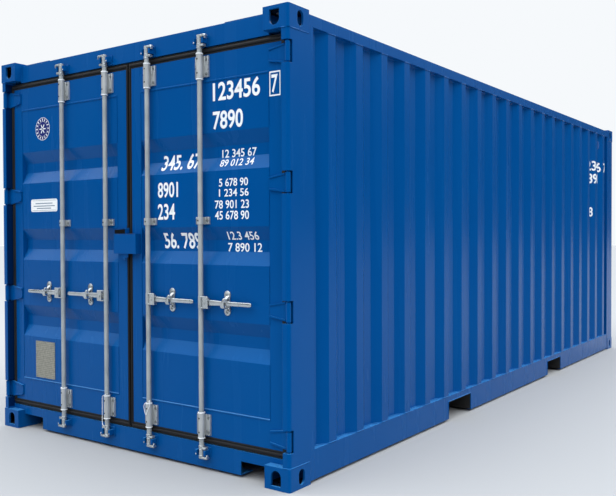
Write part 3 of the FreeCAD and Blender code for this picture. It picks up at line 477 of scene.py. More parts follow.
# Bitumen dries lumpy, tacky in some places and dull in others.
bitumen, tree, shader, place, lumps = clouded("sprayed_bitumen_underseal", 60.0, 6.0, "#0b0b0c",
                                              "#2c2b2a")
tacky = add(tree, "ShaderNodeMapRange", {"Value": lumps, 3: 0.35, 4: 0.75})
thick = add(tree, "ShaderNodeBump", {"Height": lumps, "Distance": 0.002})
feed(shader, {"Roughness": tacky, "Normal": thick})
coat(bitumen, "floor_cross_members", "fork_pockets")

# --- ventilators -------------------------------------------------------------
# Small labyrinth cowls moulded in blue ABS, riveted over a hole under the top rail. Air comes
# in by the level slots, rain runs off the sloped top.
# Spark-eroded mould steel leaves the plastic with a matt stipple. The real one is under 0.1 mm
# across, so it is drawn at 2 mm.
moulded, tree, shader, place, spark = clouded("moulded_blue_abs", 450.0, 2.0, "#0a4a94",
                                              "#1659a3")
stipple = add(tree, "ShaderNodeBump", {"Height": spark, "Distance": 0.0002})
feed(shader, {"Roughness": 0.5, "Normal": stipple})
vent_low, vent_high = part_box("ventilators")
VENT_WIDE, VENT_THICK, SLOTS = 0.066, 0.022, 6
shape = bmesh.new()
vent_rivets = []
for side, x in ((-1, vent_high.x - VENT_WIDE), (1, vent_low.x)):
    back = side * (abs(vent_low.y) - VENT_THICK)
    outer = side * abs(vent_low.y)
    flange = back + side * 0.004
    chamfered_box(shape, (x, back, vent_low.z), (x + VENT_WIDE, flange, vent_high.z), 0.0012)
    chamfered_box(shape, (x + 0.007, flange, vent_low.z + 0.006),
                  (x + VENT_WIDE - 0.007, outer - side * 0.006, vent_high.z - 0.006), 0.004)
    for slot in range(SLOTS):
        z = vent_low.z + 0.014 + slot * (vent_high.z - vent_low.z - 0.028) / (SLOTS - 1)
        chamfered_box(shape, (x + 0.012, outer - side * 0.007, z - 0.0028),
                      (x + VENT_WIDE - 0.012, outer, z + 0.0028), 0.0012)
    vent_rivets.append((side, [(x + dx, flange, z) for dx in (0.0035, VENT_WIDE - 0.0035)
                               for z in (vent_low.z + 0.010, vent_high.z - 0.010)]))
vent_cowls = finished("ventilator_cowls", shape, moulded, "frame")
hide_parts("ventilators")
for side, spots in vent_rivets:
    studded("right_vent_rivets" if side < 0 else "left_vent_rivets", spots, (0, side, 0),
            rivet_tree, worn_steel, "frame", head_radius=0.0030, head_height=0.0015)

# --- hinge pins, hinges and door leaves --------------------------------------
# Each leaf is a welded frame of hollow section round one pressed panel with three level
# recesses. Four forged blades carry it on loose pins in the post's windows, all painted over.
# Under the paint of the forgings, hammer scale leaves shallow marks 6 mm across.
forged_enamel = gloss_enamel("blue_enamel_on_forgings", 6, 0.12, 0.4, 3.0)
coat(forged_enamel, "right_door_hinges", "left_door_hinges", "hinge_pins")
coat(frame_enamel, "right_door_frame", "left_door_frame", "right_door_panel",
     "left_door_panel")
LEAF_LOW, LEAF_HIGH = SILL_TOP + 0.042, HEADER_LOW - 0.042
LEAF_OUT, LEAF_IN = SIDE - 0.063, 0.0235
PANEL_LOW, PANEL_HIGH = LEAF_LOW + 0.150, LEAF_HIGH - 0.150
PANEL_OUT, PANEL_IN = LEAF_OUT - 0.100, LEAF_IN + 0.080
RECESS_FEET, RECESS_TALL, RECESS_SLOPE, RECESS_DEEP = (0.620, 1.128, 1.636), 0.206, 0.072, 0.035
recess_line = [(PANEL_LOW, FACE)]
for foot in RECESS_FEET:
    recess_line += [(foot, FACE), (foot + RECESS_SLOPE, FACE + RECESS_DEEP),
                    (foot + RECESS_TALL - RECESS_SLOPE, FACE + RECESS_DEEP),
                    (foot + RECESS_TALL, FACE)]
recess_line.append((PANEL_HIGH, FACE))


def hulled(shape, corners):
    """Wrap the given corners in one convex piece."""
    bmesh.ops.convex_hull(shape, input=[shape.verts.new(spot) for spot in corners])


# A pale blue matt strip laid along the lower lap: painted highlight.
lap_highlight = bare_metal("pale_dust_on_enamel", "#3777b4", "#4a8ac6", 0.60, 6.0, 0.10, 0.0)
for side, name in ((-1, "right"), (1, "left")):
    seams = [[(x - 0.001, side * y, z) for z, x in recess_line] for y in (PANEL_IN, PANEL_OUT)]
    leaf_beads = grown(name + "_leaf_weld_beads", paths_mesh("leaf_seams", seams), bead_tree,
                       frame_enamel, name + "_door", bead_radius=0.0015, ripple_step=0.010)
    # The level seams are lapped: the rails stand a plate's thickness proud of the panel, and
    # along the
    # lower one lies a thin pale blue strip: a painted highlight where the lap's edge catches the
    # light.
    for kind, low, high, out, material in (
            ("upper_lap", PANEL_HIGH, PANEL_HIGH + 0.010, 0.0035, frame_enamel),
            ("lower_lap", PANEL_LOW - 0.006, PANEL_LOW, 0.0035, frame_enamel),
            ("dust_line", PANEL_LOW - 0.0002, PANEL_LOW + 0.0040, 0.0028, lap_highlight)):
        shape = bmesh.new()
        chamfered_box(shape, (FACE - out, side * PANEL_IN, low),
                      (FACE + 0.0004, side * PANEL_OUT, high), 0.0012)
        finished("%s_leaf_%s" % (name, kind), shape, material, name + "_door")
    # Each blade has a raised rib along its upper and lower edge, deeper towards the tip.
    shape = bmesh.new()
    for count in range(4):
        level = LEAF_LOW + 0.065 + (LEAF_HIGH - LEAF_LOW - 0.130) / 3 * count
        for edge in (-1, 1):
            hulled(shape, [(FACE - 0.0075 - out, side * y, level + edge * (half - part))
                           for y, half, deep, wide in ((SIDE - 0.055, 0.0495, 0.003, 0.010),
                                                       (SIDE - 0.155, 0.0330, 0.006, 0.009))
                           for out in (0, deep + 0.0005) for part in (0, wide)])
    finished(name + "_blade_ribs", shape, forged_enamel, name + "_door")

# --- door gaskets ------------------------------------------------------------
# Extruded EPDM rubber, clamped round each leaf: a soft hollow bulb on the outer face and two
# lips that sweep the doorway. The rubber is matt, and bloomed grey where fingers have not been.
rubber, tree, shader, place, bloom = clouded("extruded_epdm_rubber", 9.0, 8.0, "#0c0d0f",
                                             "#212225")
matt = add(tree, "ShaderNodeMapRange", {"Value": bloom, 3: 0.5, 4: 0.75})
# The faint drag marks of the die, finer in truth, are drawn 4 mm across.
skin = add(tree, "ShaderNodeTexNoise", {"Vector": place, "Scale": 260.0, "Detail": 2.0})
drawn = add(tree, "ShaderNodeBump", {"Height": skin, "Distance": 0.0003})
feed(shader, {"Specular IOR Level": 0.25, "Roughness": matt, "Normal": drawn})
GASKET_DEEP = 0.038
# One section of the rubber: (share of the way out from the leaf, depth behind the face).
section = [(0.0, 0.006), (0.03, 0.001), (0.16, -0.001), (0.24, 0.004), (0.29, 0.004)]
section += [(0.55 - 0.24 * math.cos(math.pi * step / 10),
             0.004 - 0.010 * math.sin(math.pi * step / 10)) for step in range(1, 10)]
section += [(0.81, 0.004), (0.88, 0.003), (0.97, 0.001), (1.0, 0.004), (0.99, 0.012),
            (0.80, 0.015), (0.80, 0.021), (0.99, 0.026), (0.97, 0.034), (0.6, GASKET_DEEP),
            (0.0, GASKET_DEEP)]


def skinned(shape, rings, joined=True):
    """Fill in the faces between each ring of points and the next, and the last to the first."""
    for here, there in zip(rings, rings[1:] + rings[:1] * joined):
        for step in range(len(here)):
            after = (step + 1) % len(here)
            shape.faces.new((here[step], there[step], there[after], here[after]))


for side, name in ((-1, "right"), (1, "left")):
    inner = [(LEAF_IN, LEAF_LOW), (LEAF_OUT, LEAF_LOW), (LEAF_OUT, LEAF_HIGH),
             (LEAF_IN, LEAF_HIGH)]
    outer = [(0.0025, SILL_TOP + 0.005), (SIDE - 0.054, SILL_TOP + 0.005),
             (SIDE - 0.054, HEADER_LOW - 0.005), (0.0025, HEADER_LOW - 0.005)]
    shape = bmesh.new()
    rings = []
    for (near_y, near_z), (far_y, far_z) in zip(inner, outer):
        rings.append([shape.verts.new((FACE + deep, side * (near_y + (far_y - near_y) * share),
                                       near_z + (far_z - near_z) * share))
                      for share, deep in section])
    skinned(shape, rings)
    gasket = finished(name + "_gasket", shape, rubber, name + "_door", 35)
    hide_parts(name + "_door_gasket")
    # On the hinge side its outer lip laps over the edge of the leaf.
    shape = bmesh.new()
    chamfered_box(shape, (FACE - 0.0040, side * (LEAF_OUT - 0.017), LEAF_LOW),
                  (FACE + 0.0020, side * (LEAF_OUT + 0.0085), LEAF_HIGH), 0.0018)
    finished(name + "_gasket_lip", shape, rubber, name + "_door")

# --- cam keepers -------------------------------------------------------------
# Forged keepers, welded to the sill and header and painted with them: a base with two prongs
# that the cams of the lock rods close over.
coat(forged_enamel, "cam_keepers")

# --- lock rods, brackets and cams --------------------------------------------
# Tube 27 mm across, dipped in zinc with its forged cams already welded on. The tube has
# weathered to a flat grey, and the forgings, where the zinc ran thick, are still bright.
galvanised = bare_metal("weathered_hot_dip_zinc", "#8a9194", "#b5bbbd", 0.50, 5.0, 0.10, 0.30)
bright_zinc = bare_metal("bright_zinc_on_forgings", "#8d9498", "#d6dbde", 0.27, 4.0, 0.25, 0.80)
dull_zinc = bare_metal("dull_zinc_on_fasteners", "#6b7173", "#949a9c", 0.42, 3.0, 0.10, 0.60)
# Nylon is milky and satin, and the ties have fine level teeth, 2 mm apart.
nylon, tree, shader, place, _ = clouded("moulded_white_nylon", 80.0, 3.0, "#dfe5ea",
                                        "#f4f7f9")
teeth = add(tree, "ShaderNodeTexWave", {"Vector": place, "Scale": 160.0},
            bands_direction="Z").outputs["Fac"]
ribbed = add(tree, "ShaderNodeBump", {"Height": teeth, "Distance": 0.0004})
feed(shader, {"Roughness": 0.38, "Normal": ribbed})
for number in "1234":
    coat(galvanised, "lock_rod_" + number)
bracket_zinc = bare_metal("hot_dip_zinc_on_brackets", "#9ba0a2", "#c9cdcf", 0.40, 4.0, 0.15, 0.45)
coat(bracket_zinc, "right_rod_brackets", "left_rod_brackets")
joint_at = {joint["name"]: Vector(joint["pos_m"]) for joint in frame["joints"]}
rod_at = {number: joint_at["lock_rod_%s_turn" % number] for number in "1234"}
LEAF_OF = {"1": "left", "2": "left", "3": "right", "4": "right"}
side_of = {number: 1 if rod_at[number].y > 0 else -1 for number in "1234"}
BRACKET_HALF, BRACKET_TALL, BRACKET_IN, SLEEVE_OVER = 0.048, 0.114, 0.008, 0.014
GUIDE_LEVEL, GUIDE_TALL, WING_X = 1.368, 0.040, FACE - 0.008
SLEEVE, BORE, TUBE = 0.0186, 0.0141, 0.0136
CAM_LEVELS = (0.102, TOP - 0.097)

bolt_tree, made = new_tree("hex_bolt", {"Head radius": 0.010, "Head height": 0.006,
                                        "Washer radius": 0.013, "Washer height": 0.002})
hexagon = add(bolt_tree, "GeometryNodeMeshCylinder", {"Vertices": 6,
                                                      "Radius": made["Head radius"],
                                                      "Depth": made["Head height"]})
half_head = add(bolt_tree, "ShaderNodeMath", {0: made["Head height"], 1: 0.5,
                                              2: made["Washer height"]},
                operation="MULTIPLY_ADD")
lift = add(bolt_tree, "ShaderNodeCombineXYZ", {"Z": half_head})
head = add(bolt_tree, "GeometryNodeTransform", {"Geometry": hexagon, "Translation": lift})
disc = add(bolt_tree, "GeometryNodeMeshCylinder", {"Vertices": 16,
                                                   "Radius": made["Washer radius"],
                                                   "Depth": made["Washer height"]})
half_disc = add(bolt_tree, "ShaderNodeMath", {0: made["Washer height"], 1: 0.5},
                operation="MULTIPLY")
seat = add(bolt_tree, "ShaderNodeCombineXYZ", {"Z": half_disc})
washer = add(bolt_tree, "GeometryNodeTransform", {"Geometry": disc, "Translation": seat})
both = add(bolt_tree, "GeometryNodeJoinGeometry", {0: head})
feed(both, {0: washer})
set_out(bolt_tree, made, both)


def circled(steps):
    """Cosine and sine at equal steps once round a circle."""
    turns = [2 * math.pi * step / steps for step in range(steps)]
    return [(math.cos(turn), math.sin(turn)) for turn in turns]


def collar(shape, rod, inner, outer, low, high):
    """A ring turned round a rod, with its outer corners rounded off."""
    low, high = sorted((low, high))
    soft = min(0.0015, (high - low) / 3)
    outline = [(inner, low), (outer - soft, low), (outer, low + soft), (outer, high - soft),
               (outer - soft, high), (inner, high)]
    skinned(shape, [[shape.verts.new((rod.x + radius * across, rod.y + radius * along, z))
                     for radius, z in outline] for across, along in circled(24)])


for leaf in ("left", "right"):
    bolts, ports = [], []
    shape, bushes = bmesh.new(), bmesh.new()
    for number in (n for n in "1234" if LEAF_OF[n] == leaf):
        rod = rod_at[number]
        foot_low, head_low = LEAF_LOW + BRACKET_IN, LEAF_HIGH - BRACKET_IN - BRACKET_TALL
        for low, tall, over in ((foot_low, BRACKET_TALL, SLEEVE_OVER),
                                (head_low, BRACKET_TALL, SLEEVE_OVER),
                                (GUIDE_LEVEL - GUIDE_TALL / 2, GUIDE_TALL, 0.0)):
            # The pressed wing has a raised rim; white nylon bushes show at the ends
            # of the long sleeves.
            for wing in (-1, 1):
                for near, far, proud, start, end, cut in (
                        (BRACKET_HALF - 0.0045, BRACKET_HALF, 0.0045, low, low + tall, 0.0012),
                        (0.0200, 0.0245, 0.0040, low, low + tall, 0.0012),
                        (0.022, BRACKET_HALF - 0.002, 0.0030, low, low + 0.004, 0.0010),
                        (0.022, BRACKET_HALF - 0.002, 0.0030, low + tall - 0.004, low + tall,
                         0.0010)):
                    chamfered_box(shape, (WING_X - proud, rod.y + wing * near, start),
                                  (WING_X + 0.001, rod.y + wing * far, end), cut)
                rows = (0.018, 0.096) if over else (0.020,)
                bolts += [(WING_X, rod.y + wing * 0.0345, low + z) for z in rows]
            if over:
                collar(bushes, rod, BORE, SLEEVE + 0.0018, low - over - 0.001,
                       low - over + 0.005)
                collar(bushes, rod, BORE, SLEEVE + 0.0018, low + tall + over - 0.006,
                       low + tall + over + 0.001)
            # Grease is pumped in by small ports on the outer side of the sleeve. Each port's hole
            # is drawn as a flat black rubber disc on the sleeve: painted shade.
            level = [low + 0.020, low + tall - 0.018] if over else [low + tall / 2]
            ports += [(rod.x - SLEEVE * 0.997, rod.y + SLEEVE * 0.075, z) for z in level]
    finished(leaf + "_bracket_rims", shape, bright_zinc, leaf + "_door", 40)
    finished(leaf + "_rod_bushes", bushes, nylon, leaf + "_door", 40)
    studded(leaf + "_bracket_bolts", bolts, (-1, 0, 0), bolt_tree, dull_zinc, leaf + "_door",
            head_radius=0.0062, head_height=0.0045, washer_radius=0.0085, washer_height=0.0012)
    studded(leaf + "_grease_ports", ports, (-0.997, 0.075, 0), rivet_tree, rubber,
            leaf + "_door", head_radius=0.0052, head_height=0.0014)

for number in "1234":
    rod, side = rod_at[number], side_of[number]
    shape = bmesh.new()
    for level, outward in zip(CAM_LEVELS, (-1, 1)):
        for lobe in (-1, 1):
            low = level + lobe * 0.026 - 0.0066
            reach = 0.0475 if lobe == outward else 0.0350
            chamfered_box(shape, (rod.x - 0.0130, rod.y - side * 0.013, low),
                          (rod.x + 0.0126, rod.y + side * reach, low + 0.0132), 0.0035)
        # The outer lobe ends in a lip that curls round the keeper's prong.
        chamfered_box(shape, (rod.x - 0.0130, rod.y + side * 0.0425, level + outward * 0.030),
                      (rod.x + 0.004, rod.y + side * 0.0480, level + outward * 0.008), 0.0022)
        neck = level - outward * 0.032
        collar(shape, rod, TUBE - 0.0005, TUBE + 0.0042, neck - outward * 0.002,
               neck - outward * 0.008)
        collar(shape, rod, 0.0135, 0.0155, level - 0.019, level - 0.014)
        collar(shape, rod, 0.0135, 0.0155, level + 0.014, level + 0.019)
    finished("forged_cams_" + number, shape, bright_zinc, "rod_" + number, 40)

# --- keeper wear and seal ties -----------------------------------------------
# The prongs of the keepers are worn to bare zinc where the cams draw them in. White nylon ties
# hang at the foot of the two middle rods.
worn_spots = [(FACE - 0.041, rod_at[number].y + across, level - 0.009)
              for number, across in zip("1234", (-0.031, -0.031, 0.031, 0.031))
              for level in CAM_LEVELS]
studded("keeper_wear_spots", worn_spots, (-1, 0, 0), rivet_tree, bright_zinc, "frame",
        head_radius=0.0050, head_height=0.0012)
tie_tree, made = new_tree("nylon_tie", {"Strap radius": 0.0018, "Bend step": 0.003})
line = add(tie_tree, "GeometryNodeMeshToCurve", {0: made["Geometry"]})
bent = add(tie_tree, "GeometryNodeCurveSplineType", {"Curve": line},
           spline_type="CATMULL_ROM")
even = add(tie_tree, "GeometryNodeResampleCurve", {"Curve": bent, "Length": made["Bend step"]},
           mode="LENGTH")
ring = add(tie_tree, "GeometryNodeCurvePrimitiveCircle", {"Resolution": 8,
                                                          "Radius": made["Strap radius"]})
strap = add(tie_tree, "GeometryNodeCurveToMesh", {"Curve": even, "Profile Curve": ring,
                                                  "Fill Caps": True})
close_tree(tie_tree, strap, made)
SLEEVE_TOP = LEAF_LOW + BRACKET_IN + BRACKET_TALL + SLEEVE_OVER
TIES = {  # points from the rod's axis: forward, towards +Y, above the sleeve's top
    "2": [(0.023, -0.030, 0.016), (0.024, -0.020, 0.012), (0.023, -0.004, 0.005),
          (0.021, 0.012, -0.002), (0.017, 0.022, -0.016), (0.015, 0.025, -0.060),
          (0.015, 0.026, -0.110), (0.017, 0.024, -0.150), (0.021, 0.016, -0.176),
          (0.025, 0.002, -0.180)],
    "3": [(0.021, 0.006, 0.001), (0.020, 0.016, -0.006), (0.019, 0.022, -0.022),
          (0.021, 0.014, -0.046), (0.023, 0.001, -0.066), (0.023, -0.012, -0.040),
          (0.022, -0.028, -0.010), (0.022, -0.031, 0.012), (0.022, -0.026, 0.020),
          (0.023, -0.022, 0.008)]}
for number, points in TIES.items():
    rod = rod_at[number]
    spots = [(rod.x - forward, rod.y + across, SLEEVE_TOP + up)
             for forward, across, up in points]
    grown("nylon_tie_" + number, paths_mesh("tie_path", [spots]), tie_tree, nylon,
          LEAF_OF[number] + "_door", strap_radius=0.0019, bend_step=0.003)

# --- handles and their retainers ---------------------------------------------
# Drop-forged handles, pinned in a clevis on each rod: a deep bar that narrows to an oval grip.
# On the leaf, a riveted plate cradles each one, with a tongue in front and a seal ring below.


def lofted(shape, sections, power, steps=16):
    """Join up rounded sections; each is its middle and two half axes, as vectors."""
    shares = [[math.copysign(abs(share) ** (2 / power), share) for share in pair]
              for pair in circled(steps)]
    rings = [[shape.verts.new(Vector(middle) + Vector(first) * across + Vector(second) * along)
              for across, along in shares] for middle, first, second in sections]
    skinned(shape, rings, joined=False)
    shape.faces.new(rings[0])
    shape.faces.new(list(reversed(rings[-1])))


HANDLE_X = REAR + 0.019
HANDLE_STATIONS = [  # distance out from the rod, half thickness, half height
    (0.0245, 0.0035, 0.0060), (0.0265, 0.0055, 0.0115), (0.0400, 0.0060, 0.0155),
    (0.0620, 0.0060, 0.0160), (0.0800, 0.0060, 0.0156), (0.1300, 0.0058, 0.0138),
    (0.1480, 0.0056, 0.0122), (0.1950, 0.0056, 0.0118), (0.2020, 0.0060, 0.0134),
    (0.2100, 0.0060, 0.0132), (0.2140, 0.0056, 0.0116), (0.3440, 0.0058, 0.0116),
    (0.3550, 0.0050, 0.0104), (0.3600, 0.0028, 0.0060)]
for number in "1234":
    rod, side = rod_at[number], side_of[number]
    shape = bmesh.new()
    lofted(shape, [((HANDLE_X, rod.y + side * out, rod.z), (wide, 0, 0), (0, 0, tall))
                   for out, wide, tall in HANDLE_STATIONS], 3.2)
    handle = finished("forged_handle_" + number, shape, bright_zinc, "handle_" + number,
                      50)
    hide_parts("rod_handle_" + number)
    # The clevis: a front cheek, joined to the hub above and below the bar.
    shape = bmesh.new()
    for front, behind, near, far, low, high, cut in (
            (0.0045, 0.0100, 0.026, 0.065, -0.033, 0.033, 0.0018),
            (0.0060, 0.034, 0.010, 0.039, 0.0265, 0.033, 0.0015),
            (0.0060, 0.034, 0.010, 0.060, -0.033, -0.0265, 0.0015)):
        chamfered_box(shape, (REAR + front, rod.y + side * near, rod.z + low),
                      (REAR + behind, rod.y + side * far, rod.z + high), cut)
    finished("handle_clevis_" + number, shape, bright_zinc, "rod_" + number)
    studded("handle_pin_" + number, [(REAR + 0.0045, rod.y + side * 0.042, rod.z)],
            (-1, 0, 0), bolt_tree, galvanised, "rod_" + number, head_radius=0.0085,
            head_height=0.0030, washer_radius=0.0105, washer_height=0.0010)


def hoop(shape, middle, reach, thick, flat):
    """A ring that faces the doors, of oval section."""
    skinned(shape, [[shape.verts.new(Vector(middle) + Vector((0, *away)) * (reach + thick * out)
                                     + Vector((flat * over, 0, 0))) for out, over in circled(8)]
                    for away in circled(20)])


RETAINER_OUT, LOBE, LOBE_REACH = 0.173, 0.021, 0.046
for leaf in ("left", "right"):
    shape = bmesh.new()
    rivets, holes = [], []
    for number in (n for n in "1234" if LEAF_OF[n] == leaf):
        rod, side = rod_at[number], side_of[number]
        y, level = rod.y + side * RETAINER_OUT, rod.z
        # The back plate: two round lobes joined by a waist, 8 mm thick with a soft edge.
        outline = []
        for end in (1, -1):
            outline += [(end * LOBE * math.cos(math.pi * step / 10),
                         end * (LOBE_REACH + LOBE * math.sin(math.pi * step / 10)))
                        for step in range(11)]
            outline += [(-end * 0.0165, end * 0.020), (-end * 0.0165, -end * 0.020)]
        rings = [[shape.verts.new((x, y + a * part, level + b * (1 - (1 - part) * 0.35)))
                  for a, b in outline]
                 for x, part in ((FACE, 1.0), (FACE - 0.0060, 1.0), (FACE - 0.0080, 0.90))]
        skinned(shape, rings, joined=False)
        shape.faces.new(rings[0])
        shape.faces.new(rings[-1])
        rivets += [(FACE - 0.008, y, level + end * LOBE_REACH) for end in (1, -1)]
        # An arm bulges out above the bar, and stops short of its path.
        lofted(shape, [((FACE - 0.006, y - 0.002, level + 0.034), (0, 0.0130, 0), (0, 0, 0.012)),
                       ((FACE - 0.014, y - 0.001, level + 0.028), (0, 0.0115, 0), (0, 0, 0.010)),
                       ((FACE - 0.021, y, level + 0.021), (0, 0.0100, 0), (0, 0, 0.008)),
                       ((FACE - 0.0235, y, level + 0.019), (0, 0.0070, 0), (0, 0, 0.005))],
               2.4, 12)
        # A shelf runs out under the bar and turns up in front of it as a leaning tongue.
        lofted(shape, [((x, y + lean, level + up), (0, half, 0), (thick_x, 0, thick_z))
                       for x, lean, up, half, thick_x, thick_z in (
                           (FACE - 0.006, 0.0, -0.0260, 0.0130, 0.0, 0.0040),
                           (REAR + 0.022, 0.001, -0.0250, 0.0130, 0.0, 0.0038),
                           (REAR + 0.0095, 0.003, -0.0220, 0.0135, 0.0024, 0.0030),
                           (REAR + 0.0050, 0.004, -0.0130, 0.0130, 0.0034, 0.0008),
                           (REAR + 0.0042, 0.001, 0.0020, 0.0100, 0.0032, 0.0),
                           (REAR + 0.0046, -0.004, 0.0160, 0.0085, 0.0030, 0.0),
                           (REAR + 0.0056, -0.009, 0.0260, 0.0070, 0.0024, 0.0008),
                           (REAR + 0.0066, -0.011, 0.0300, 0.0040, 0.0014, 0.0008))], 2.6, 12)
        hoop(shape, (FACE - 0.014, y - 0.014, level - 0.0350), 0.0085, 0.0034, 0.0040)
        holes.append((FACE - 0.012, y - 0.014, level - 0.0350))
    retainers = finished(leaf + "_retainers", shape, bright_zinc, leaf + "_door",
                         40)
    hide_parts(leaf + "_handle_retainers")
    studded(leaf + "_retainer_rivets", rivets, (-1, 0, 0), rivet_tree, dull_zinc,
            leaf + "_door", head_radius=0.0095, head_height=0.0045)
    studded(leaf + "_seal_ring_eyes", holes, (-1, 0, 0), rivet_tree, rubber, leaf + "_door",
            head_radius=0.0055, head_height=0.0010)

# --- lock box ----------------------------------------------------------------
# A folded steel box on the right-hand leaf that shields a padlock, with a hooded mouth on top,
# a tab below and the same enamel as the leaf. A near-black block fills its mouth: painted shade.
coat(frame_enamel, "lock_box")
box_low, box_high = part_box("lock_box")
shape = bmesh.new()
chamfered_box(shape, (box_low.x + 0.012, -0.016, box_low.z - 0.022),
              (box_low.x + 0.016, 0.046, box_low.z + 0.002), 0.001)
chamfered_box(shape, (box_low.x + 0.012, 0.010, box_low.z - 0.036),
              (box_low.x + 0.016, 0.034, box_low.z - 0.020), 0.0018)
mouth_left, mouth_right = box_high.y, 0.002
hulled(shape, [(x, y, box_high.z + up - drop) for drop in (0, 0.003) for x, y, up in (
    (box_low.x + 0.012, mouth_left, 0.025), (box_low.x + 0.012, mouth_right, 0.033),
    (FACE - 0.0005, mouth_right, 0.036), (FACE - 0.0005, mouth_left, 0.028))])
chamfered_box(shape, (box_low.x + 0.006, mouth_right - 0.003, box_high.z - 0.001),
              (FACE - 0.0005, mouth_right, box_high.z + 0.031), 0.001)
chamfered_box(shape, (box_low.x + 0.020, mouth_left - 0.003, box_high.z - 0.001),
              (FACE - 0.0055, mouth_left, box_high.z + 0.022), 0.001)
chamfered_box(shape, (box_low.x - 0.0005, box_low.y, box_high.z - 0.006),
              (box_low.x + 0.007, box_high.y, box_high.z + 0.0005), 0.0045)
finished("lock_box_hood", shape, frame_enamel, "right_door")
# The block set in the box's mouth is near-black: painted shade under the hood.
mouth_shade = bare_metal("black_grease_and_dust", "#020203", "#0b0b0c", 0.75, 8.0, 0.2, 0.0)
feed(mouth_shade.node_tree.nodes["Principled BSDF"], {"Specular IOR Level": 0.1})
shape = bmesh.new()
chamfered_box(shape, (box_low.x + 0.006, mouth_right, box_high.z - 0.0005),
              (box_low.x + 0.013, mouth_left - 0.001, box_high.z + 0.0235), 0.0006)
finished("lock_box_mouth", shape, mouth_shade, "right_door")

# --- data plate --------------------------------------------------------------
# A sheet of etched aluminium, riveted low on the left-hand leaf. It is left without words: only
# faint ruled lines 12 mm apart, and the blotches of dust that etched metal holds.
aluminium, tree, shader, place = blank_material("etched_aluminium_sheet")
blotch = add(tree, "ShaderNodeTexNoise", {"Vector": place, "Scale": 60.0, "Detail": 8.0,
                                          "Roughness": 0.7})
lines = add(tree, "ShaderNodeTexWave", {"Vector": place, "Scale": 26.0, "Distortion": 0.6},
            bands_direction="Z").outputs["Fac"]
mixed = add(tree, "ShaderNodeMath", {0: lines, 1: 0.22, 2: blotch}, operation="MULTIPLY_ADD")
warm = add(tree, "ShaderNodeValToRGB", {"Fac": mixed})
stops = warm.color_ramp.elements
stops[0].position, stops[0].color = 0.30, linear("#696861")
stops[1].position, stops[1].color = 0.85, linear("#a3a297")
etched = add(tree, "ShaderNodeBump", {"Height": mixed, "Distance": 0.0003})
feed(shader, {"Base Color": warm, "Metallic": 0.35, "Roughness": 0.5, "Normal": etched})
coat(aluminium, "data_plate")
plate_low, plate_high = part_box("data_plate")
plate_mid = (plate_low + plate_high) / 2
plate_spots = [(plate_mid.y, z) for z in (plate_high.z - 0.007, plate_low.z + 0.007)]
plate_spots += [(y, plate_mid.z + 0.030) for y in (plate_low.y + 0.007, plate_high.y - 0.007)]
plate_spots += [(y, z) for z in (plate_low.z + 0.010, plate_high.z - 0.010)
                for y in (plate_low.y + 0.010, plate_high.y - 0.010)]
plate_spots = [(plate_low.x, y, z) for y, z in plate_spots]
studded("data_plate_rivets", plate_spots, (-1, 0, 0), rivet_tree, dull_zinc, "left_door",
        head_radius=0.0055, head_height=0.0025)

# --- painted marks -----------------------------------------------------------
# White marks, cut from vinyl film 0.5 mm thick and pressed down into the recesses. They are
# plain numbers. The badge is a ringed disc with plain strokes and the label is blank.


def smooth_film(name, colour, other):
    """Cast vinyl: flat colour with faint fading, and a satin face."""
    material, tree, shader, place, fade = clouded(name, 22.0, 6.0, colour, other)
    ripple = add(tree, "ShaderNodeBump", {"Height": fade, "Distance": 0.0004})
    feed(shader, {"Roughness": 0.42, "Specular IOR Level": 0.15, "Normal": ripple})
    return material


white_film = smooth_film("white_vinyl_film", "#f2f4f5", "#dfe4e8")
FILM = 0.0005


def number_shape(text, bold):
    """A number's outline as a bmesh that fills the unit square, u across and v up."""
    curve = bpy.data.curves.new("number", "FONT")
    curve.body = text
    curve.size = 1.0
    curve.offset = bold
    curve.resolution_u = 4
    curve.extrude = 0.5
    holder = bpy.data.objects.new("number", curve)
    bpy.context.scene.collection.objects.link(holder)
    seen = holder.evaluated_get(bpy.context.evaluated_depsgraph_get())
    shape = bmesh.new()
    mesh = bpy.data.meshes.new_from_object(seen)
    shape.from_mesh(mesh)
    bpy.data.objects.remove(holder)
    low, high = ([pick(vert.co[axis] for vert in shape.verts) for axis in range(3)]
                 for pick in (min, max))
    for vert in shape.verts:
        vert.co = Vector([(vert.co[a] - low[a]) / (high[a] - low[a]) for a in range(3)])
    return shape


def draped(shape, corner, across, size, bends, bend_axis, lay):
    """Place a unit shape on a wall: slice it at the folds, then lay each point on the sheet."""
    for vert in shape.verts:
        u, v, out = vert.co
        vert.co = Vector(corner) + Vector(across) * (u * size[0]) + Vector((0, 0, v * size[1]))
        vert.co += Vector((across[1], -across[0], 0)) * (out * FILM)
    for fold in bends:
        normal = Vector([float(axis == bend_axis) for axis in range(3)])
        bmesh.ops.bisect_plane(shape, geom=shape.verts[:] + shape.edges[:] + shape.faces[:],
                               plane_co=normal * fold, plane_no=normal)
    for vert in shape.verts:
        vert.co = lay(vert.co)
    return shape


def interpolated(line, at):
    """Read a folded line of (along, out) points at one place."""
    for (start, a), (end, b) in zip(line, line[1:]):
        if start <= at <= end:
            return a + (b - a) * (at - start) / max(end - start, 1e-9)
    return line[0][1] if at < line[0][0] else line[-1][1]


def on_panel(spot):
    """Press a point of film down into the panel's recesses."""
    return Vector((interpolated(recess_line, spot.z) - FILM * 0.2 - (FACE - spot.x), spot.y,
                   spot.z))


def gathered(name, shapes, material, body):
    """Join several bmeshes into one piece."""
    whole = bmesh.new()
    for shape in shapes:
        mesh = bpy.data.meshes.new("part")
        shape.to_mesh(mesh)
        shape.free()
        whole.from_mesh(mesh)
    return finished(name, whole, material, body)


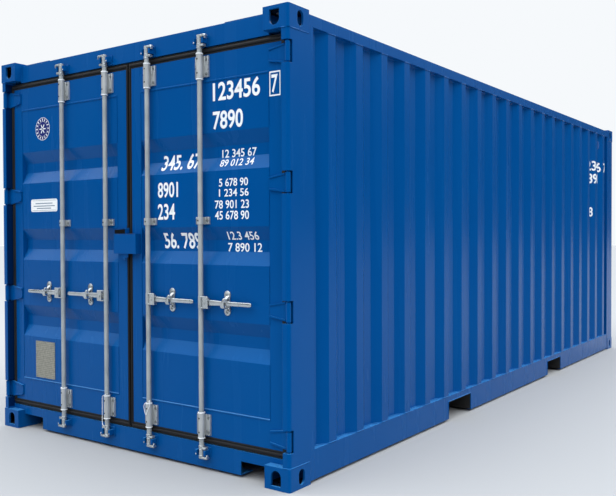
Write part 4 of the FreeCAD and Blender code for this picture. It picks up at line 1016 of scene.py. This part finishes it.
# Each row: number, left and right edge from the centre line, low and high edge, boldness.
DOOR_ROWS = [
    ("123456", 0.670, 0.998, 2.010, 2.110, 0.020), ("7890", 0.669, 0.882, 1.857, 1.955, 0.020),
    ("12 345 67", 0.705, 0.945, 1.706, 1.750, 0.010),
    ("89 012 34", 0.705, 0.940, 1.657, 1.696, 0.010),
    ("5 678 90", 0.711, 0.914, 1.549, 1.592, 0.010),
    ("1 234 56", 0.711, 0.918, 1.495, 1.536, 0.010),
    ("78 901 23", 0.681, 0.920, 1.431, 1.476, 0.010),
    ("45 678 90", 0.681, 0.920, 1.372, 1.419, 0.010),
    ("12.3 456", 0.752, 0.965, 1.264, 1.308, 0.010),
    ("7 890 12", 0.744, 0.980, 1.200, 1.247, 0.010),
    ("345. 67", 0.255, 0.556, 1.656, 1.745, 0.018), ("8901", 0.241, 0.402, 1.502, 1.590, 0.018),
    ("234", 0.240, 0.377, 1.377, 1.468, 0.018), ("56. 789", 0.261, 0.548, 1.213, 1.304, 0.018)]
folds = [z for z, _ in recess_line[1:-1]]
marks = [draped(number_shape(text, bold), (FACE, -left, low), (0, -1, 0),
                (right_edge - left, high - low), folds, 2, on_panel)
         for text, left, right_edge, low, high, bold in DOOR_ROWS]
marks.append(draped(number_shape("7", 0.018), (FACE, -1.073, 2.013), (0, -1, 0), (0.040, 0.092),
                    [], 2, on_panel))
frame_bars = bmesh.new()
for y_low, y_high, z_low, z_high in (
        (-1.131, -1.060, 1.996, 2.003), (-1.131, -1.060, 2.115, 2.122),
        (-1.131, -1.125, 2.003, 2.115), (-1.066, -1.060, 2.003, 2.115)):
    chamfered_box(frame_bars, (FACE - FILM, y_low, z_low), (FACE, y_high, z_high), 0.0001)
marks.append(frame_bars)
gathered("door_numbers", marks, white_film, "right_door")


def on_wall(spot):
    """Press a point of film into the corrugations of the right-hand wall."""
    out = interpolated(wall_line, spot.x)
    return Vector((spot.x, -(SIDE - WALL_IN + 0.002) - out - FILM * 0.2 - (-SIDE - spot.y),
                   spot.z))


wall_marks = [draped(number_shape(text, bold), (left, -SIDE, low), (1, 0, 0),
                     (right_edge - left, high - low), [x for x, _ in wall_line[1:-1]], 0,
                     on_wall)
              for text, left, right_edge, low, high, bold in (
                  ("123456 7", 2.180, 2.745, 1.955, 2.060, 0.020),
                  ("7890", 2.180, 2.480, 1.820, 1.925, 0.020),
                  ("8", 2.270, 2.330, 1.470, 1.570, 0.020))]
gathered("wall_numbers", wall_marks, white_film, "frame")

navy_film = smooth_film("navy_vinyl_film", "#04145c", "#08206e")
BADGE_Y, BADGE_Z, BADGE_X = 0.832, 1.986, FACE - 0.0006
for name, radius, hole, material in (("badge_rim", 0.0740, 0.0712, white_film),
                                     ("badge_field", 0.0712, 0.0490, navy_film),
                                     ("badge_band", 0.0490, 0.0475, white_film),
                                     ("badge_middle", 0.0475, 0.001, navy_film)):
    shape = bmesh.new()
    skinned(shape, [[shape.verts.new((BADGE_X + back, BADGE_Y + reach * across,
                                      BADGE_Z + reach * along)) for across, along in circled(48)]
                    for reach, back in ((radius, 0), (radius, FILM), (hole, FILM), (hole, 0))])
    finished(name, shape, material, "left_door")
shape = bmesh.new()
for reach, count, wide, tall in ((0.0605, 16, 0.0036, 0.0068), (0.0190, 6, 0.0034, 0.0130)):
    for step in range(count):
        turn = Matrix.Rotation(2 * math.pi * step / count, 4, "X")
        verts = chamfered_box(shape, (-0.0003, reach - tall, -wide),
                              (0.0003, reach + tall, wide), 0.00015)
        for vert in verts:
            vert.co = Vector((FACE - 0.0008, BADGE_Y, BADGE_Z)) + turn @ vert.co
finished("badge_ticks", shape, white_film, "left_door")
shape = bmesh.new()
LABEL_ROUND = 0.014
corners = [(0.963 - LABEL_ROUND, 1.528 - LABEL_ROUND), (0.685 + LABEL_ROUND, 1.528 - LABEL_ROUND),
           (0.685 + LABEL_ROUND, 1.446 + LABEL_ROUND), (0.963 - LABEL_ROUND, 1.446 + LABEL_ROUND)]
outline = [(y + LABEL_ROUND * math.cos(math.pi / 2 * (turn + step / 6)),
            z + LABEL_ROUND * math.sin(math.pi / 2 * (turn + step / 6)))
           for turn, (y, z) in enumerate(corners) for step in range(7)]
rings = [[shape.verts.new((x, y, z)) for y, z in outline] for x in (FACE - 0.0008, FACE)]
skinned(shape, rings, joined=False)
shape.faces.new(rings[0])
shape.faces.new(list(reversed(rings[1])))
finished("blank_label", shape, white_film, "left_door")
grey_film = smooth_film("grey_vinyl_film", "#66788c", "#7d8ea0")
shape = bmesh.new()
for y_low, y_high, z in ((0.700, 0.948, 1.5195), (0.700, 0.948, 1.4545), (0.735, 0.915, 1.500),
                         (0.712, 0.936, 1.483), (0.750, 0.900, 1.468)):
    thick = 0.0012 if y_low == 0.700 else 0.0030
    chamfered_box(shape, (FACE - 0.0012, y_low, z - thick), (FACE - 0.0007, y_high, z + thick),
                  0.0002)
finished("label_rules", shape, grey_film, "left_door")

# --- studio ------------------------------------------------------------------
# A pale floor under a sky-like soft surround, bright overhead and dim at eye level, so that
# level folds show. One large soft panel over the doors draws the edges.
sky_light = bpy.data.lights.new("sky_panel", "AREA")
sky_light.shape = "RECTANGLE"
sky_light.size, sky_light.size_y = 14.0, 10.0
sky_light.energy = 330
sky_panel = bpy.data.objects.new("sky_panel", sky_light)
sky_panel.location = (-3.5, -2.0, 10.0)
sky_panel.rotation_euler = (Vector((-1.0, 0.0, 0.0)) - sky_panel.location).to_track_quat(
    "-Z", "Y").to_euler()
bpy.context.scene.collection.objects.link(sky_panel)

world = bpy.data.worlds.new("soft_surround")
bpy.context.scene.world = world
world.use_nodes = True
tree = world.node_tree
background = tree.nodes["Background"]
direction = add(tree, "ShaderNodeTexCoord").outputs["Generated"]
height = add(tree, "ShaderNodeSeparateXYZ", {0: direction}).outputs["Z"]
overhead = add(tree, "ShaderNodeMapRange", {"Value": height, 1: 0.10, 2: 0.62, 3: 0.04, 4: 2.5},
               interpolation_type="SMOOTHSTEP")
seen_straight = add(tree, "ShaderNodeLightPath").outputs["Is Camera Ray"]
level = add(tree, "ShaderNodeMix", {0: seen_straight, 2: overhead, 3: 1.0},
            data_type="FLOAT")
feed(background, {"Color": linear("#f6f9fc"), "Strength": level})

pale_floor, tree, shader, place = blank_material("pale_studio_floor")
feed(shader, {"Base Color": linear("#a8aaac"), "Roughness": 0.9, "Specular IOR Level": 0.1})
bpy.ops.mesh.primitive_plane_add(size=160)
studio_floor = bpy.context.object
studio_floor.name = "studio_floor"
studio_floor.data.materials.append(pale_floor)

bpy.context.scene.view_settings.view_transform = "Standard"
camera = bpy.data.objects.new("camera", bpy.data.cameras.new("camera"))
right = Vector((0.58339, -0.81219, -0.00328))
up = Vector((0.01612, 0.00754, 0.99984))
back = Vector((-0.81203, -0.58335, 0.01749))
camera.matrix_world = Matrix.Translation((-6.0829, -3.5285, 1.2911)) @ Matrix(
    (right, up, back)).transposed().to_4x4()
camera.data.sensor_width = 36.0
camera.data.lens = 45.2
bpy.context.scene.collection.objects.link(camera)
bpy.context.scene.camera = camera
